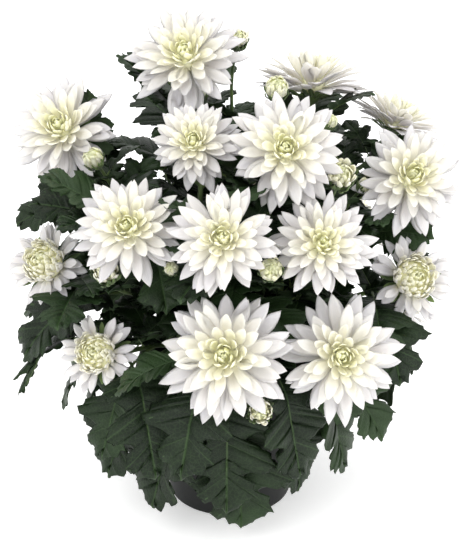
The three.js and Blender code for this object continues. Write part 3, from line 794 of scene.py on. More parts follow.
class Paintwork:
    """The node tree of one material, with short ways to fill it."""

    def __init__(self, name: str) -> None:
        """Starts the material.

        Args:
            name: Its name.
        """
        self.material = bpy.data.materials.new(name)
        self.material.use_nodes = True
        self.tree = self.material.node_tree
        self.shader = self.tree.nodes["Principled BSDF"]

    def link(self, start: bpy.types.NodeSocket, end: bpy.types.NodeSocket) -> None:
        """Links two sockets."""
        self.tree.links.new(start, end)

    def attribute(self, name: str) -> Amount:
        """One of the mesh's own attributes."""
        node = self.tree.nodes.new("ShaderNodeAttribute")
        node.attribute_name = name
        return Amount(self.tree, node.outputs["Fac"])

    def noise(self, scale: float, detail: float = 2.0, stretch: Row = (1, 1, 1)) -> Amount:
        """Cloudy noise over the object, from 0 to 1.

        Args:
            scale: Clouds a metre.
            detail: How much finer noise lies on it.
            stretch: How much denser it is along each axis.

        Returns:
            The noise.
        """
        place = self.tree.nodes.new("ShaderNodeTexCoord")
        mapping = self.tree.nodes.new("ShaderNodeMapping")
        mapping.inputs["Scale"].default_value = stretch
        node = self.tree.nodes.new("ShaderNodeTexNoise")
        node.inputs["Scale"].default_value = scale
        node.inputs["Detail"].default_value = detail
        self.link(place.outputs["Object"], mapping.inputs["Vector"])
        self.link(mapping.outputs["Vector"], node.inputs["Vector"])
        return Amount(self.tree, node.outputs["Fac"])

    def cells(self, scale: float) -> Amount:
        """Cells over the object.

        Args:
            scale: Cells a metre.

        Returns:
            The distance to the nearest edge between two cells.
        """
        place = self.tree.nodes.new("ShaderNodeTexCoord")
        node = self.tree.nodes.new("ShaderNodeTexVoronoi")
        node.feature = "DISTANCE_TO_EDGE"
        node.inputs["Scale"].default_value = scale
        self.link(place.outputs["Object"], node.inputs["Vector"])
        return Amount(self.tree, node.outputs["Distance"])

    def ramp(self, amount: Amount, *stops: tuple[float, Row]) -> bpy.types.NodeSocket:
        """A colour that follows an amount.

        Args:
            amount: The amount.
            stops: (level, colour) in rising order.

        Returns:
            The colour.
        """
        node = self.tree.nodes.new("ShaderNodeValToRGB")
        marks = node.color_ramp.elements
        while len(marks) < len(stops):
            marks.new(0.5)
        for mark, (level, colour) in zip(marks, stops):
            mark.position, mark.color = level, colour
        self.link(amount.socket, node.inputs["Fac"])
        return node.outputs["Color"]

    def mixed(
        self, share: "Amount | float", first: object, second: object, blend: str = "MIX"
    ) -> bpy.types.NodeSocket:
        """Two colours mixed.

        Args:
            share: How much of the second.
            first: A colour or a socket.
            second: Another.
            blend: How they mix.

        Returns:
            The mixed colour.
        """
        node = self.tree.nodes.new("ShaderNodeMix")
        node.data_type, node.blend_type = "RGBA", blend
        plugs = [socket for socket in node.inputs if socket.type == "RGBA"]
        if isinstance(share, Amount):
            self.link(share.socket, node.inputs["Factor"])
        else:
            node.inputs["Factor"].default_value = share
        for plug, value in zip(plugs, (first, second)):
            if isinstance(value, bpy.types.NodeSocket):
                self.link(value, plug)
            else:
                plug.default_value = value
        return next(socket for socket in node.outputs if socket.type == "RGBA")

    def bump(self, height: Amount, strength: float, distance: float) -> None:
        """Gives the surface fine relief.

        Args:
            height: The relief.
            strength: How much of it shows.
            distance: Its depth in metres.
        """
        node = self.tree.nodes.new("ShaderNodeBump")
        node.inputs["Strength"].default_value = strength
        node.inputs["Distance"].default_value = distance
        self.link(height.socket, node.inputs["Height"])
        self.link(node.outputs["Normal"], self.shader.inputs["Normal"])

    def finished(self, colour: object, roughness: "Amount | float", **values: object) -> bpy.types.Material:
        """Ends the material.

        Args:
            colour: The base colour.
            roughness: The roughness.
            values: Other inputs of the shader by name, with _ for a space.

        Returns:
            The material.
        """
        for name, value in {"Base Color": colour, "Roughness": roughness, **values}.items():
            plug = self.shader.inputs[name.replace("_", " ")]
            if isinstance(value, Amount):
                self.link(value.socket, plug)
            elif isinstance(value, bpy.types.NodeSocket):
                self.link(value, plug)
            else:
                plug.default_value = value
        return self.material


@dataclass(frozen=True)
class PetalFinish:
    """Satiny petals: white at the rim of a head, through cream, to pale yellow at its eye."""

    name: str
    rim: Row = paint(219, 215, 214)
    cream: Row = paint(240, 236, 221)
    heart: Row = paint(252, 249, 212)
    eye: Row = paint(246, 247, 184)
    base: Row = paint(247, 244, 212)
    roughness: float = 0.65

    def made(self) -> bpy.types.Material:
        """Builds the material.

        Returns:
            The material.
        """
        work = Paintwork(self.name)
        ripe, along = work.attribute("ripeness"), work.attribute("along")
        across, shade = work.attribute("across"), work.attribute("shade")
        ripened = ripe + (work.noise(60.0) - 0.5) * 0.12
        flesh = work.ramp(ripened, (0.26, self.rim), (0.52, self.cream), (0.78, self.heart), (1.0, self.eye))
        rooted = work.mixed(along.eased(0.4, 0.0) * 0.6, flesh, self.base)
        light = work.ramp(shade, (0.0, (0.93, 0.92, 0.92, 1)), (0.9, (1, 1, 1, 1)))
        dim = work.mixed(1.0, rooted, light, "MULTIPLY")
        streaks = (across * 19.0).sin() * 0.5 + (across * 43.0 + along * 3.0).sin() * 0.3
        work.bump(streaks + work.noise(900.0), 0.22, 0.0002)
        return work.finished(
            dim,
            self.roughness,
            Specular_IOR_Level=0.3,
            Subsurface_Weight=0.6,
            Subsurface_Radius=(1.0, 0.95, 0.8),
            Subsurface_Scale=0.005,
        )


@dataclass(frozen=True)
class LeafFinish:
    """Dark, faintly glossy leaves with paler ribs and a dull, paler underside."""

    name: str = "chrysanthemum leaf"
    deep: Row = paint(15, 27, 13)
    fresh: Row = paint(41, 60, 33)
    vein: Row = paint(64, 86, 52)
    under: Row = paint(56, 74, 47)

    def made(self) -> bpy.types.Material:
        """Builds the material.

        Returns:
            The material.
        """
        work = Paintwork(self.name)
        rib, vein = work.attribute("rib_gap"), work.attribute("vein_gap")
        top, shade = work.attribute("top"), work.attribute("shade")
        clouds = work.noise(38.0, 3.0)
        flesh = work.mixed((clouds * 1.1 + shade * 0.6 - 0.4).eased(0.05, 0.9), self.deep, self.fresh)
        net = work.cells(420.0)
        fine = work.mixed(net.eased(0.09, 0.0) * 0.22, flesh, self.vein)
        lines = (rib.eased(0.015, 0.004) * 0.6).most(vein.eased(0.42, 0.1) * 0.32)
        veined = work.mixed(lines, fine, self.vein)
        sided = work.mixed(top.eased(0.2, -0.4), veined, self.under)
        work.bump(net.eased(0.0, 0.2) * 0.5 + clouds * 0.4 - lines * 0.8, 0.35, 0.0005)
        gloss = top.eased(-0.2, 0.4) * -0.2 + work.noise(110.0) * 0.16 + 0.58
        return work.finished(sided, gloss, Specular_IOR_Level=0.22)


@dataclass(frozen=True)
class StemFinish:
    """Light green stalks, faintly ribbed and downy."""

    name: str = "green stalk"
    light: Row = paint(104, 126, 68)
    dark: Row = paint(58, 78, 40)

    def made(self) -> bpy.types.Material:
        """Builds the material.

        Returns:
            The material.
        """
        work = Paintwork(self.name)
        mottle = work.noise(90.0, 3.0)
        colour = work.mixed(mottle.eased(0.3, 0.7), self.dark, self.light)
        work.bump(work.noise(1400.0, 2.0, (1, 1, 0.12)), 0.35, 0.0004)
        return work.finished(colour, 0.62, Sheen_Weight=0.15)


@dataclass(frozen=True)
class PotFinish:
    """Dull dark plastic with the fine grain of its mould."""

    name: str = "dark pot plastic"
    colour: Row = paint(27, 29, 28)
    dust: Row = paint(48, 48, 45)

    def made(self) -> bpy.types.Material:
        """Builds the material.

        Returns:
            The material.
        """
        work = Paintwork(self.name)
        dusty = work.noise(26.0, 4.0)
        colour = work.mixed(dusty.eased(0.5, 0.85) * 0.5, self.colour, self.dust)
        work.bump(work.noise(2600.0, 1.0), 0.12, 0.0003)
        return work.finished(colour, dusty * 0.18 + 0.5, Specular_IOR_Level=0.2)


@dataclass(frozen=True)
class SoilFinish:
    """Dark, moist peat with lighter fibres."""

    name: str = "peat soil"
    damp: Row = paint(38, 27, 20)
    dry: Row = paint(86, 64, 46)

    def made(self) -> bpy.types.Material:
        """Builds the material.

        Returns:
            The material.
        """
        work = Paintwork(self.name)
        crumbs = work.noise(420.0, 4.0)
        colour = work.mixed((crumbs * 0.7 + work.noise(70.0) * 0.4).eased(0.35, 0.8), self.damp, self.dry)
        work.bump(crumbs, 0.8, 0.0012)
        return work.finished(colour, 0.92, Specular_IOR_Level=0.25)


@dataclass(frozen=True)
class FloorFinish:
    """A plain pale studio floor that glows faintly, so that its shadow stays light."""

    name: str = "studio floor"
    colour: Row = (0.93, 0.93, 0.93, 1.0)
    glow: float = 0.36

    def made(self) -> bpy.types.Material:
        """Builds the material."""
        light = {"Emission_Color": (1, 1, 1, 1), "Emission_Strength": self.glow}
        return Paintwork(self.name).finished(self.colour, 0.9, Specular_IOR_Level=0.0, **light)


# Blades


@dataclass
class FloretBlade:
    """A flat floret of length and half width 1: narrow at its root, widest past its middle, pointed."""

    stations: tuple[Row, ...] = (
        (0.0, 0.34),
        (0.14, 0.46),
        (0.3, 0.7),
        (0.45, 0.92),
        (0.58, 1.0),
        (0.72, 0.9),
        (0.84, 0.64),
        (0.93, 0.34),
    )
    section: tuple[Row, ...] = (
        (-1.0, 0.0),
        (-0.55, -0.4),
        (0.0, -0.55),
        (0.55, -0.4),
        (1.0, 0.0),
        (0.55, 0.4),
        (0.0, 0.3),
        (-0.55, 0.4),
    )
    sways: Row = (-0.34, 0.06, 0.4)
    seed: int = 3

    def variant(self, number: int) -> bpy.types.Object:
        """One of the flat florets.

        Args:
            number: Which one, for its own small unevenness.

        Returns:
            Its object.
        """
        random = np.random.default_rng(self.seed + number)
        points: list[Row] = []
        across: list[float] = []
        side = self.sways[number]
        for at, half in self.stations:
            sway = side * at**2
            half *= 1 + random.uniform(-0.06, 0.06)
            for y, z in self.section:
                points.append((at, y * half + sway, z))
                across.append(y)
        points.append((1.0, side * 1.15, 0.0))
        across.append(0.0)
        count = len(self.section)
        rings = [list(range(i * count, (i + 1) * count)) for i in range(len(self.stations))]
        faces = [rings[0][::-1]]
        for low, high in zip(rings, rings[1:]):
            faces += [[low[j], low[(j + 1) % count], high[(j + 1) % count], high[j]] for j in range(count)]
        faces += [[rings[-1][j], rings[-1][(j + 1) % count], len(points) - 1] for j in range(count)]
        mesh = mesh_of(f"flat floret {number}", points, faces)
        write_attribute(mesh, "along", np.array([p[0] for p in points]))
        write_attribute(mesh, "across", np.array(across))
        return kept_flat(mesh)


@dataclass
class LeafBlade:
    """A flat lobed and toothed leaf of length 1, with its ribs and the soft swell between them."""

    # the right half of the outline: across, along, and 2 at the end of a main vein, 1 at a tooth's
    edge: tuple[Row, ...] = (
        (0.03, 0.0, 0),
        (0.08, 0.012, 0),
        (0.17, 0.028, 0),
        (0.245, 0.05, 1),
        (0.268, 0.088, 0),
        (0.335, 0.108, 1),
        (0.334, 0.145, 0),
        (0.385, 0.185, 2),
        (0.352, 0.218, 0),
        (0.34, 0.252, 1),
        (0.28, 0.262, 0),
        (0.222, 0.29, 0),
        (0.172, 0.335, 0),
        (0.202, 0.372, 0),
        (0.278, 0.396, 1),
        (0.294, 0.434, 0),
        (0.366, 0.462, 1),
        (0.368, 0.505, 0),
        (0.425, 0.56, 2),
        (0.378, 0.588, 0),
        (0.356, 0.628, 1),
        (0.288, 0.63, 0),
        (0.214, 0.634, 0),
        (0.152, 0.656, 0),
        (0.17, 0.7, 0),
        (0.236, 0.736, 1),
        (0.228, 0.778, 0),
        (0.266, 0.836, 2),
        (0.216, 0.858, 0),
        (0.192, 0.906, 1),
        (0.13, 0.92, 0),
        (0.098, 0.966, 1),
        (0.046, 0.976, 0),
        (0.0, 1.01, 2),
    )
    ribs: tuple[Row, ...] = ((0, 0.19, 0.34, 0.56, 0.65, 0.86, 1.01), (0, 0.1, 0.25, 0.36, 0.54, 0.68, 0.99))
    levels: tuple[float, ...] = (0.0, 0.08, 0.36, 0.68, 0.94, 1.0)
    rounded: bool = True
    half_thickness: float = 0.0034
    swell: float = 0.016
    wave: float = 0.026
    droop: float = 0.03
    groove: float = 0.006
    seed: int = 11

    def columns(self, random: np.random.Generator) -> np.ndarray:
        """One side's outline, rounded, as rows of across, along, gap to the next vein's end.

        Args:
            random: Draws each tooth's unevenness.

        Returns:
            The rows.
        """
        rough = np.array(self.edge)
        rough[1:-1, :2] *= 1 + random.uniform(-0.035, 0.035, (len(rough) - 2, 2))
        before, after = np.vstack([rough[:1], rough[:-1]]), np.vstack([rough[1:], rough[-1:]])
        later = np.vstack([after[1:], after[-1:]])
        between = (9 * (rough + after) - before - later) / 16
        dense, step = rough, 1
        if self.rounded:
            dense, step = np.empty((2 * len(rough) - 1, 3)), 2
            dense[0::2], dense[1::2] = rough, between[:-1]
        numbers = np.arange(len(dense)) * 2 / step
        ends = 2 * np.flatnonzero(np.array(self.edge)[:, 2] > 0)
        strong = 2 * np.flatnonzero(np.array(self.edge)[:, 2] > 1)
        to_any = np.abs(numbers[:, None] - ends[None, :]).min(1) + 0.45
        to_strong = np.abs(numbers[:, None] - strong[None, :]).min(1)
        dense[:, 2] = np.minimum(to_any, to_strong)
        return dense

    def variant(self, number: int) -> bpy.types.Object:
        """One of the flat leaves.

        Args:
            number: Which one, for its own waves and teeth.

        Returns:
            Its object.
        """
        random = np.random.default_rng(self.seed + number)
        rows: dict[str, list[float]] = {key: [] for key in ("rib_gap", "vein_gap", "top")}
        points: list[Row] = []
        faces: list[list[int]] = []
        for side in (-1, 1):
            columns = self.columns(random)
            phase, waves = random.uniform(0, 2 * math.pi), random.uniform(2.2, 3.4)
            grids = {face: [] for face in (1, -1)}
            for i, (x, y, gap) in enumerate(columns):
                rib = np.interp(y, *self.ribs)
                for face in grids:
                    line = []
                    for t in self.levels:
                        swell = self.swell * math.sin(math.pi * t**0.8) * min(1.0, gap / 3)
                        wave = self.wave * t**2 * math.sin(phase + waves * 2 * math.pi * i / len(columns))
                        sunk = self.groove * (1 - t) ** 6 + self.droop * t**3 * (1 if gap < 1.5 else 0.4)
                        thick = self.half_thickness * math.sqrt(max(0.0, 1 - t**2)) * face
                        line.append(len(points))
                        rise = swell + wave * min(1, 8 * x) - sunk + thick
                        points.append((rib + t * (y - rib), side * t * x, rise))
                        rows["rib_gap"].append(t * x)
                        rows["vein_gap"].append(min(gap, 2.0))
                        rows["top"].append(face if t < 1 else 0)
                    grids[face].append(line)
            for face, grid in grids.items():
                for low, high in zip(grid, grid[1:]):
                    for k in range(len(self.levels) - 1):
                        quad = [low[k], low[k + 1], high[k + 1], high[k]]
                        faces.append(quad if side * face < 0 else quad[::-1])
            base = [*grids[1][0], *grids[-1][0][::-1]]
            faces.append(base if side > 0 else base[::-1])
        mesh = mesh_of(f"flat leaf {number}", points, faces)
        for key, values in rows.items():
            write_attribute(mesh, key, np.array(values))
        tidy = bmesh.new()
        tidy.from_mesh(mesh)
        bmesh.ops.remove_doubles(tidy, verts=tidy.verts, dist=1e-5)
        bmesh.ops.dissolve_degenerate(tidy, edges=tidy.edges, dist=1e-6)
        bmesh.ops.recalc_face_normals(tidy, faces=tidy.faces)
        tidy.to_mesh(mesh)
        tidy.free()
        return kept_flat(mesh)


# Heads


@dataclass(frozen=True)
class FloretRule:
    """How the florets of a head change from its rim (0) to its eye (1), in radii and degrees."""

    count: int
    steps: Row
    root: Row
    height: Row
    length: Row
    width: Row
    pitch: Row
    curl: Row
    cup: Row
    ripeness: Row
    core: tuple[Row, ...]
    give_to: tuple[Row, ...] = ()
    lead: float = 0.3

    def at(self, name: str, where: np.ndarray) -> np.ndarray:
        """A row of the table, read at each floret's own step."""
        return np.interp(where, self.steps, getattr(self, name))


RULES = {
    Stage.OPEN: FloretRule(
        count=96,
        steps=(0, 0.18, 0.34, 0.48, 0.62, 0.78, 0.9, 1),
        root=(0.2, 0.2, 0.19, 0.18, 0.165, 0.13, 0.08, 0.02),
        height=(0, 0.07, 0.13, 0.18, 0.24, 0.3, 0.34, 0.36),
        length=(0.86, 0.84, 0.78, 0.7, 0.58, 0.42, 0.3, 0.24),
        width=(0.26, 0.26, 0.25, 0.23, 0.2, 0.17, 0.15, 0.13),
        pitch=(3, 10, 21, 33, 46, 62, 78, 92),
        curl=(-14, -12, -8, 0, 14, 36, 46, 40),
        cup=(0.16, 0.18, 0.22, 0.28, 0.34, 0.4, 0.42, 0.42),
        ripeness=(0.0, 0.2, 0.36, 0.5, 0.64, 0.8, 0.92, 1.0),
        core=((0, -0.01), (0.17, 0), (0.22, 0.09), (0.22, 0.19), (0.18, 0.29), (0.1, 0.36), (0, 0.385)),
        give_to=((1, 0.0, 0.3), (3, 0.3, 0.56)),
    ),
    Stage.YOUNG: FloretRule(
        count=112,
        steps=(0, 0.13, 0.26, 0.27, 0.42, 0.6, 0.8, 0.92, 1),
        root=(0.28, 0.33, 0.36, 0.38, 0.4, 0.38, 0.27, 0.16, 0.04),
        height=(0.01, 0.06, 0.1, 0.1, 0.18, 0.28, 0.38, 0.43, 0.45),
        length=(0.72, 0.67, 0.6, 0.42, 0.36, 0.32, 0.28, 0.25, 0.22),
        width=(0.25, 0.24, 0.22, 0.19, 0.18, 0.17, 0.16, 0.145, 0.13),
        pitch=(6, 15, 30, 54, 64, 74, 88, 98, 100),
        curl=(-16, -12, 0, 48, 50, 50, 42, 30, 20),
        cup=(0.22, 0.25, 0.3, 0.4, 0.4, 0.4, 0.4, 0.4, 0.4),
        ripeness=(0.0, 0.15, 0.35, 0.5, 0.6, 0.68, 0.78, 0.9, 0.97),
        core=(
            *((0, -0.01), (0.26, 0), (0.38, 0.1), (0.4, 0.2)),
            *((0.35, 0.33), (0.24, 0.43), (0.1, 0.48), (0, 0.49)),
        ),
        give_to=((1, 0.0, 0.27),),
    ),
    Stage.HALF_OPEN: FloretRule(
        count=40,
        steps=(0, 0.2, 0.42, 0.43, 0.7, 0.85, 1),
        root=(0.5, 0.56, 0.6, 0.58, 0.58, 0.42, 0.14),
        height=(0.05, 0.15, 0.25, 0.3, 0.55, 0.85, 1.05),
        length=(1.2, 1.16, 1.05, 0.95, 0.8, 0.6, 0.42),
        width=(0.5, 0.5, 0.46, 0.44, 0.4, 0.36, 0.28),
        pitch=(54, 62, 72, 80, 98, 124, 150),
        curl=(46, 52, 58, 56, 50, 36, 20),
        cup=(0.45, 0.45, 0.45, 0.45, 0.4, 0.4, 0.4),
        ripeness=(0.3, 0.4, 0.5, 0.6, 0.7, 0.85, 1.0),
        core=((0, -0.02), (0.46, 0), (0.62, 0.25), (0.62, 0.5), (0.5, 0.85), (0.25, 1.08), (0, 1.15)),
    ),
    Stage.CLOSED: FloretRule(
        count=30,
        steps=(0, 0.3, 0.6, 0.85, 1),
        root=(0.72, 0.92, 0.84, 0.5, 0.16),
        height=(0.1, 0.4, 0.86, 1.3, 1.5),
        length=(1.3, 1.1, 0.85, 0.55, 0.34),
        width=(0.6, 0.58, 0.5, 0.4, 0.3),
        pitch=(72, 86, 108, 138, 160),
        curl=(58, 56, 46, 26, 14),
        cup=(0.4, 0.4, 0.4, 0.35, 0.3),
        ripeness=(0.5, 0.62, 0.75, 0.88, 1.0),
        core=((0, -0.02), (0.62, 0), (0.9, 0.45), (0.84, 0.85), (0.6, 1.2), (0.3, 1.42), (0, 1.5)),
    ),
}


@dataclass
class Bends:
    """How the solid florets of one level of a head were bent clear, read round the head."""

    start: float
    lifts: np.ndarray
    sizes: np.ndarray

    def at(self, azimuth: np.ndarray) -> tuple[np.ndarray, np.ndarray]:
        """The bend at each azimuth, between the two nearest solid florets.

        Args:
            azimuth: Radians round the head.

        Returns:
            Lifts in degrees, and sizes.
        """
        count = len(self.lifts)
        where = ((azimuth - self.start) / (2 * math.pi) * count) % count
        low = where.astype(int) % count
        share = where % 1
        share = share * share * (3 - 2 * share)
        high = (low + 1) % count
        mix = lambda values: values[low] * (1 - share) + values[high] * share
        return mix(self.lifts), mix(self.sizes)


@dataclass
class HeadDresser:
    """Dresses the blooms and buds with fine florets that follow their solids."""

    grower: BladeGrower
    florets: Sequence[bpy.types.Object]
    petals: bpy.types.Material
    bud_petals: bpy.types.Material
    random: Iterator[float] = field(default_factory=lambda: seeded(HEAD_SEED))
    thickness: float = 0.55
    core_sides: int = 24
    azimuth_sway: float = 0.24
    pitch_sway: float = 7
    curl_sway: float = 14
    roll_sway: float = 18
    width_sway: float = 0.08
    most_shorter: float = 0.15
    most_longer: float = 0.08
    most_stretch: float = 1.04

    def lattice_point(self, head: Head, level: int, j: int) -> Vector:
        """A point of the head's lattice, in the head's own frame."""
        lattice = LATTICES[head.stage]
        angle = (j + level / 4) / lattice.count * 2 * math.pi
        radius, height = lattice.rings[level]
        return Vector((radius * math.cos(angle), radius * math.sin(angle), height)) * head.radius

    def bends(self, head: Head) -> dict[int, Bends]:
        """Finds each solid floret's bend again, by the corner at its tip.

        Args:
            head: The bloom or bud.

        Returns:
            The bends by level.
        """
        lattice, found = LATTICES[head.stage], {}
        corners, place = Corners(head.name), head.place
        for level, ray in lattice.rays.items():
            lifts, sizes, start = [], [], 0.0
            for j in range(lattice.count):
                pitch = ray.pitch + (next(self.random) * 2 - 1) * HEAD_JITTER_PITCH * ray.give
                length = ray.length * (1 + (next(self.random) * 2 - 1) * HEAD_JITTER_LENGTH)
                around = ((level, j + 1), (level + 1, j), (level, j), (level - 1, j + 1))
                root = sum((self.lattice_point(head, *at) for at in around), Vector()) / 4
                out = Vector((root.x, root.y, 0)).normalized()
                if j == 0:
                    start = math.atan2(out.y, out.x)
                for size, lift in FLORET_BENDS:
                    rise = math.radians(pitch + lift * ray.give)
                    turn = math.radians(ray.curl)
                    tip = root.copy()
                    for share, angle in ((BELLY, rise + turn * BELLY_TURN), (1 - BELLY, rise + turn)):
                        step = out * math.cos(angle) + UP * math.sin(angle)
                        tip += step * (share * length * size * head.radius)
                    if corners.has(place @ tip):
                        lifts.append(pitch - ray.pitch + lift * ray.give)
                        sizes.append(length / ray.length * size)
                        break
                else:
                    LOG.warning("%s: no solid floret %d on level %d", head.name, j, level)
                    lifts.append(0.0)
                    sizes.append(0.9)
            found[level] = Bends(start, np.array(lifts), np.array(sizes))
        return found

    def points(self, head: Head, number: int) -> dict[str, np.ndarray]:
        """What each fine floret of a head is like.

        Args:
            head: The bloom or bud.
            number: The head's number, which seeds its unevenness.

        Returns:
            The florets' attributes.
        """
        rule, radius = RULES[head.stage], head.radius
        random = np.random.default_rng(FLORET_SEED + number)
        where = np.linspace(0, 1, rule.count)
        azimuth = np.arange(rule.count) * GOLDEN_ANGLE + number
        azimuth = azimuth + random.uniform(-self.azimuth_sway, self.azimuth_sway, rule.count)
        pitch = rule.at("pitch", where) + random.uniform(-self.pitch_sway, self.pitch_sway, rule.count)
        length = rule.at("length", where)
        length = length * (1 + random.uniform(-self.most_shorter, self.most_longer, rule.count))
        found = self.bends(head)
        for level, low, high in rule.give_to:
            lifts, sizes = found[level].at(azimuth)
            chosen = (where >= low) & (where < high)
            pitch = np.where(chosen, pitch + lifts, pitch)
            length = np.where(chosen, length * np.minimum(sizes, self.most_stretch), length)
        curl = rule.at("curl", where) + random.uniform(-self.curl_sway, self.curl_sway, rule.count)
        curl = np.where(np.abs(curl) < 1, 1, curl)
        length = length * radius
        root = rule.at("root", where) * radius
        wider = random.uniform(-self.width_sway, self.width_sway, rule.count)
        return {
            "azimuth": azimuth,
            "root_x": root * np.cos(azimuth),
            "root_y": root * np.sin(azimuth),
            "root_z": rule.at("height", where) * radius,
            "length": length,
            "width": rule.at("width", where) * radius / 2 * (1 + wider),
            "thickness": np.full(rule.count, self.thickness),
            "cup": rule.at("cup", where),
            "lead": length * rule.lead,
            "arc": length * (1 - rule.lead),
            "first": np.radians(pitch),
            "bend": np.radians(curl) / (length * (1 - rule.lead)),
            "roll": np.radians(random.uniform(-self.roll_sway, self.roll_sway, rule.count)),
            "ripeness": rule.at("ripeness", where),
            "shade": random.uniform(0, 1, rule.count),
        }

    def core(self, head: Head, finish: bpy.types.Material) -> bpy.types.Mesh:
        """The closed heart that the florets stand on.

        Args:
            head: The bloom or bud.
            finish: Its material.

        Returns:
            The heart's mesh, in the head's own frame.
        """
        profile = [(r * head.radius * MM, z * head.radius * MM) for r, z in RULES[head.stage].core]
        mesh = mesh_of("heart", *turned(profile, self.core_sides))
        count = len(mesh.vertices)
        for key, value in {"along": 0.5, "across": 0.0, "ripeness": 0.85, "shade": 1.0}.items():
            write_attribute(mesh, key, np.full(count, value))
        mesh.materials.append(finish)
        return mesh

    def dressed(self, head: Head, number: int) -> bpy.types.Object:
        """Dresses one head.

        Args:
            head: The bloom or bud.
            number: Its number.

        Returns:
            The piece.
        """
        finish = self.bud_petals if head.is_bud else self.petals
        florets = self.grower.blades("florets", self.florets, finish, self.points(head, number))
        name = head.name.replace("bloom", "flower").replace("bud", "flower_bud")
        mesh = joined(name, [florets, self.core(head, finish)])
        place = head.place
        place.translation *= MM
        mesh.transform(place)
        return piece(mesh, "buds" if head.is_bud else "petals", head.name)


# Greens


@dataclass
class Line:
    """A straight main stem."""

    start: Vector
    end: Vector

    def point(self, share: float) -> Vector:
        """The point at a share of the way."""
        return self.start.lerp(self.end, share)

    def tangent(self, share: float) -> Vector:
        """The way the stem runs, the same all along."""
        return (self.end - self.start).normalized()


@dataclass
class Shoot:
    """A curved shoot from its root to the back of a head, by its four control points."""

    controls: tuple[Vector, Vector, Vector, Vector]

    def point(self, share: float) -> Vector:
        """The point at a share of the curve."""
        a, b, c, d = self.controls
        t, u = share, 1 - share
        return a * u**3 + b * (3 * u * u * t) + c * (3 * u * t * t) + d * t**3

    def tangent(self, share: float) -> Vector:
        """The way the shoot runs at a share of the curve."""
        a, b, c, d = self.controls
        t, u = share, 1 - share
        return ((b - a) * (u * u) + (c - b) * (2 * u * t) + (d - c) * (t * t)).normalized()


Stem = Line | Shoot
STEPS = 3
SHOOT_LOWEST, SHOOT_HIGHEST, SHOOT_LEAVE = 99, 240, 0.35
SHOOT_WAYS = [(lead, below) for lead in (0.4, 0.28, 0.55) for below in (62, 44, 85, 110, 30)]
SHOOT_RADII = (1.9, 1.4)
SHOOT_SIDES = 5
BUD_SHOOT = 0.75


def chord_point(stem: Stem, share: float) -> Vector:
    """The middle of a stem's solid, which runs straight between the ends of its steps."""
    step = min(int(share * STEPS), STEPS - 1)
    return stem.point(step / STEPS).lerp(stem.point((step + 1) / STEPS), share * STEPS - step)


@dataclass(frozen=True)
class Stalk:
    """How a leaf's stalk and rib run and thin out, in millimetres and in shares of their length."""

    full_blade: float = 60
    shares: Row = (0, 0.25, 0.5, 0.75, 1)
    settling: float = 1.6
    sink: float = 0.25
    radius: float = 1.3
    taper: float = 0.35
    rib_shares: Row = (0.12, 0.3, 0.5, 0.7, 0.88)
    rib_depth: float = 0.45
    rib_rise: float = 0.3
    rib_radius: float = 0.85
    rib_taper: float = 0.7


STALK = Stalk()


@dataclass
class Leaf:
    """A rooted leaf with its bend, from which each point of its arch follows."""

    plan: LeafPlan
    root: Vector
    shift: Vector
    turn: float
    drop: float
    size: float
    straight: bool = False

    def __post_init__(self) -> None:
        """Works out the arch."""
        plan = self.plan
        self.blade = plan.blade * self.size
        self.first, last = math.radians(plan.start), math.radians(plan.end + self.drop)
        whole = plan.stalk + self.blade
        self.arch = plan.arch * whole
        self.bend = (last - self.first) / self.arch
        reach = math.hypot(self.root.x, self.root.y) + LEAF_SPREAD * whole
        self.out = (point_at(plan.bearing + self.turn, reach, self.root.z) - self.root).normalized()
        if self.straight:
            self.out = point_at(plan.bearing, 1, 0)

    def at(self, way: float) -> tuple[Vector, Vector]:
        """A point of the leaf's middle line.

        Args:
            way: The distance from its root.

        Returns:
            The point and the upper side's normal.
        """
        turning = min(way, self.arch)
        heading = self.first + self.bend * turning
        rest = way - turning
        along = (math.sin(heading) - math.sin(self.first)) / self.bend + rest * math.cos(heading)
        rise = (math.cos(self.first) - math.cos(heading)) / self.bend + rest * math.sin(heading)
        normal = UP * math.cos(heading) - self.out * math.sin(heading)
        return self.root + self.out * along + UP * rise, normal

    @property
    def tip(self) -> Vector:
        """The leaf's tip."""
        return self.at(self.plan.stalk + self.blade)[0]

    def stalk_path(self) -> Path:
        """The stalk, and the rib that it runs on in under the blade.

        Returns:
            The path.
        """
        stalk, points, radii = self.plan.stalk, [], []
        thick = min(1.0, self.blade / STALK.full_blade)
        for share in STALK.shares:
            point, normal = self.at(share * stalk)
            settled = self.shift * max(0.0, 1 - STALK.settling * share)
            points.append(point + settled - normal * STALK.sink * share)
            radii.append((STALK.radius - STALK.taper * share) * thick)
        for share in STALK.rib_shares:
            point, normal = self.at(stalk + share * self.blade)
            points.append(point - normal * (STALK.rib_depth + STALK.rib_rise * (1 - share)) * thick)
            radii.append((STALK.rib_radius - STALK.rib_taper * share) * thick)
        return Path(points, radii)


@dataclass
class Cutting:
    """One rooted cutting: its straight main stem, its shoots and its leaves."""

    name: str
    bearing: float
    corners: Corners
    stems: list[Stem] = field(default_factory=list)
    paths: list[Path] = field(default_factory=list)
    leaves: list[Leaf] = field(default_factory=list)
    small_leaves: list[Leaf] = field(default_factory=list)
    heads: list[Head] = field(default_factory=list)


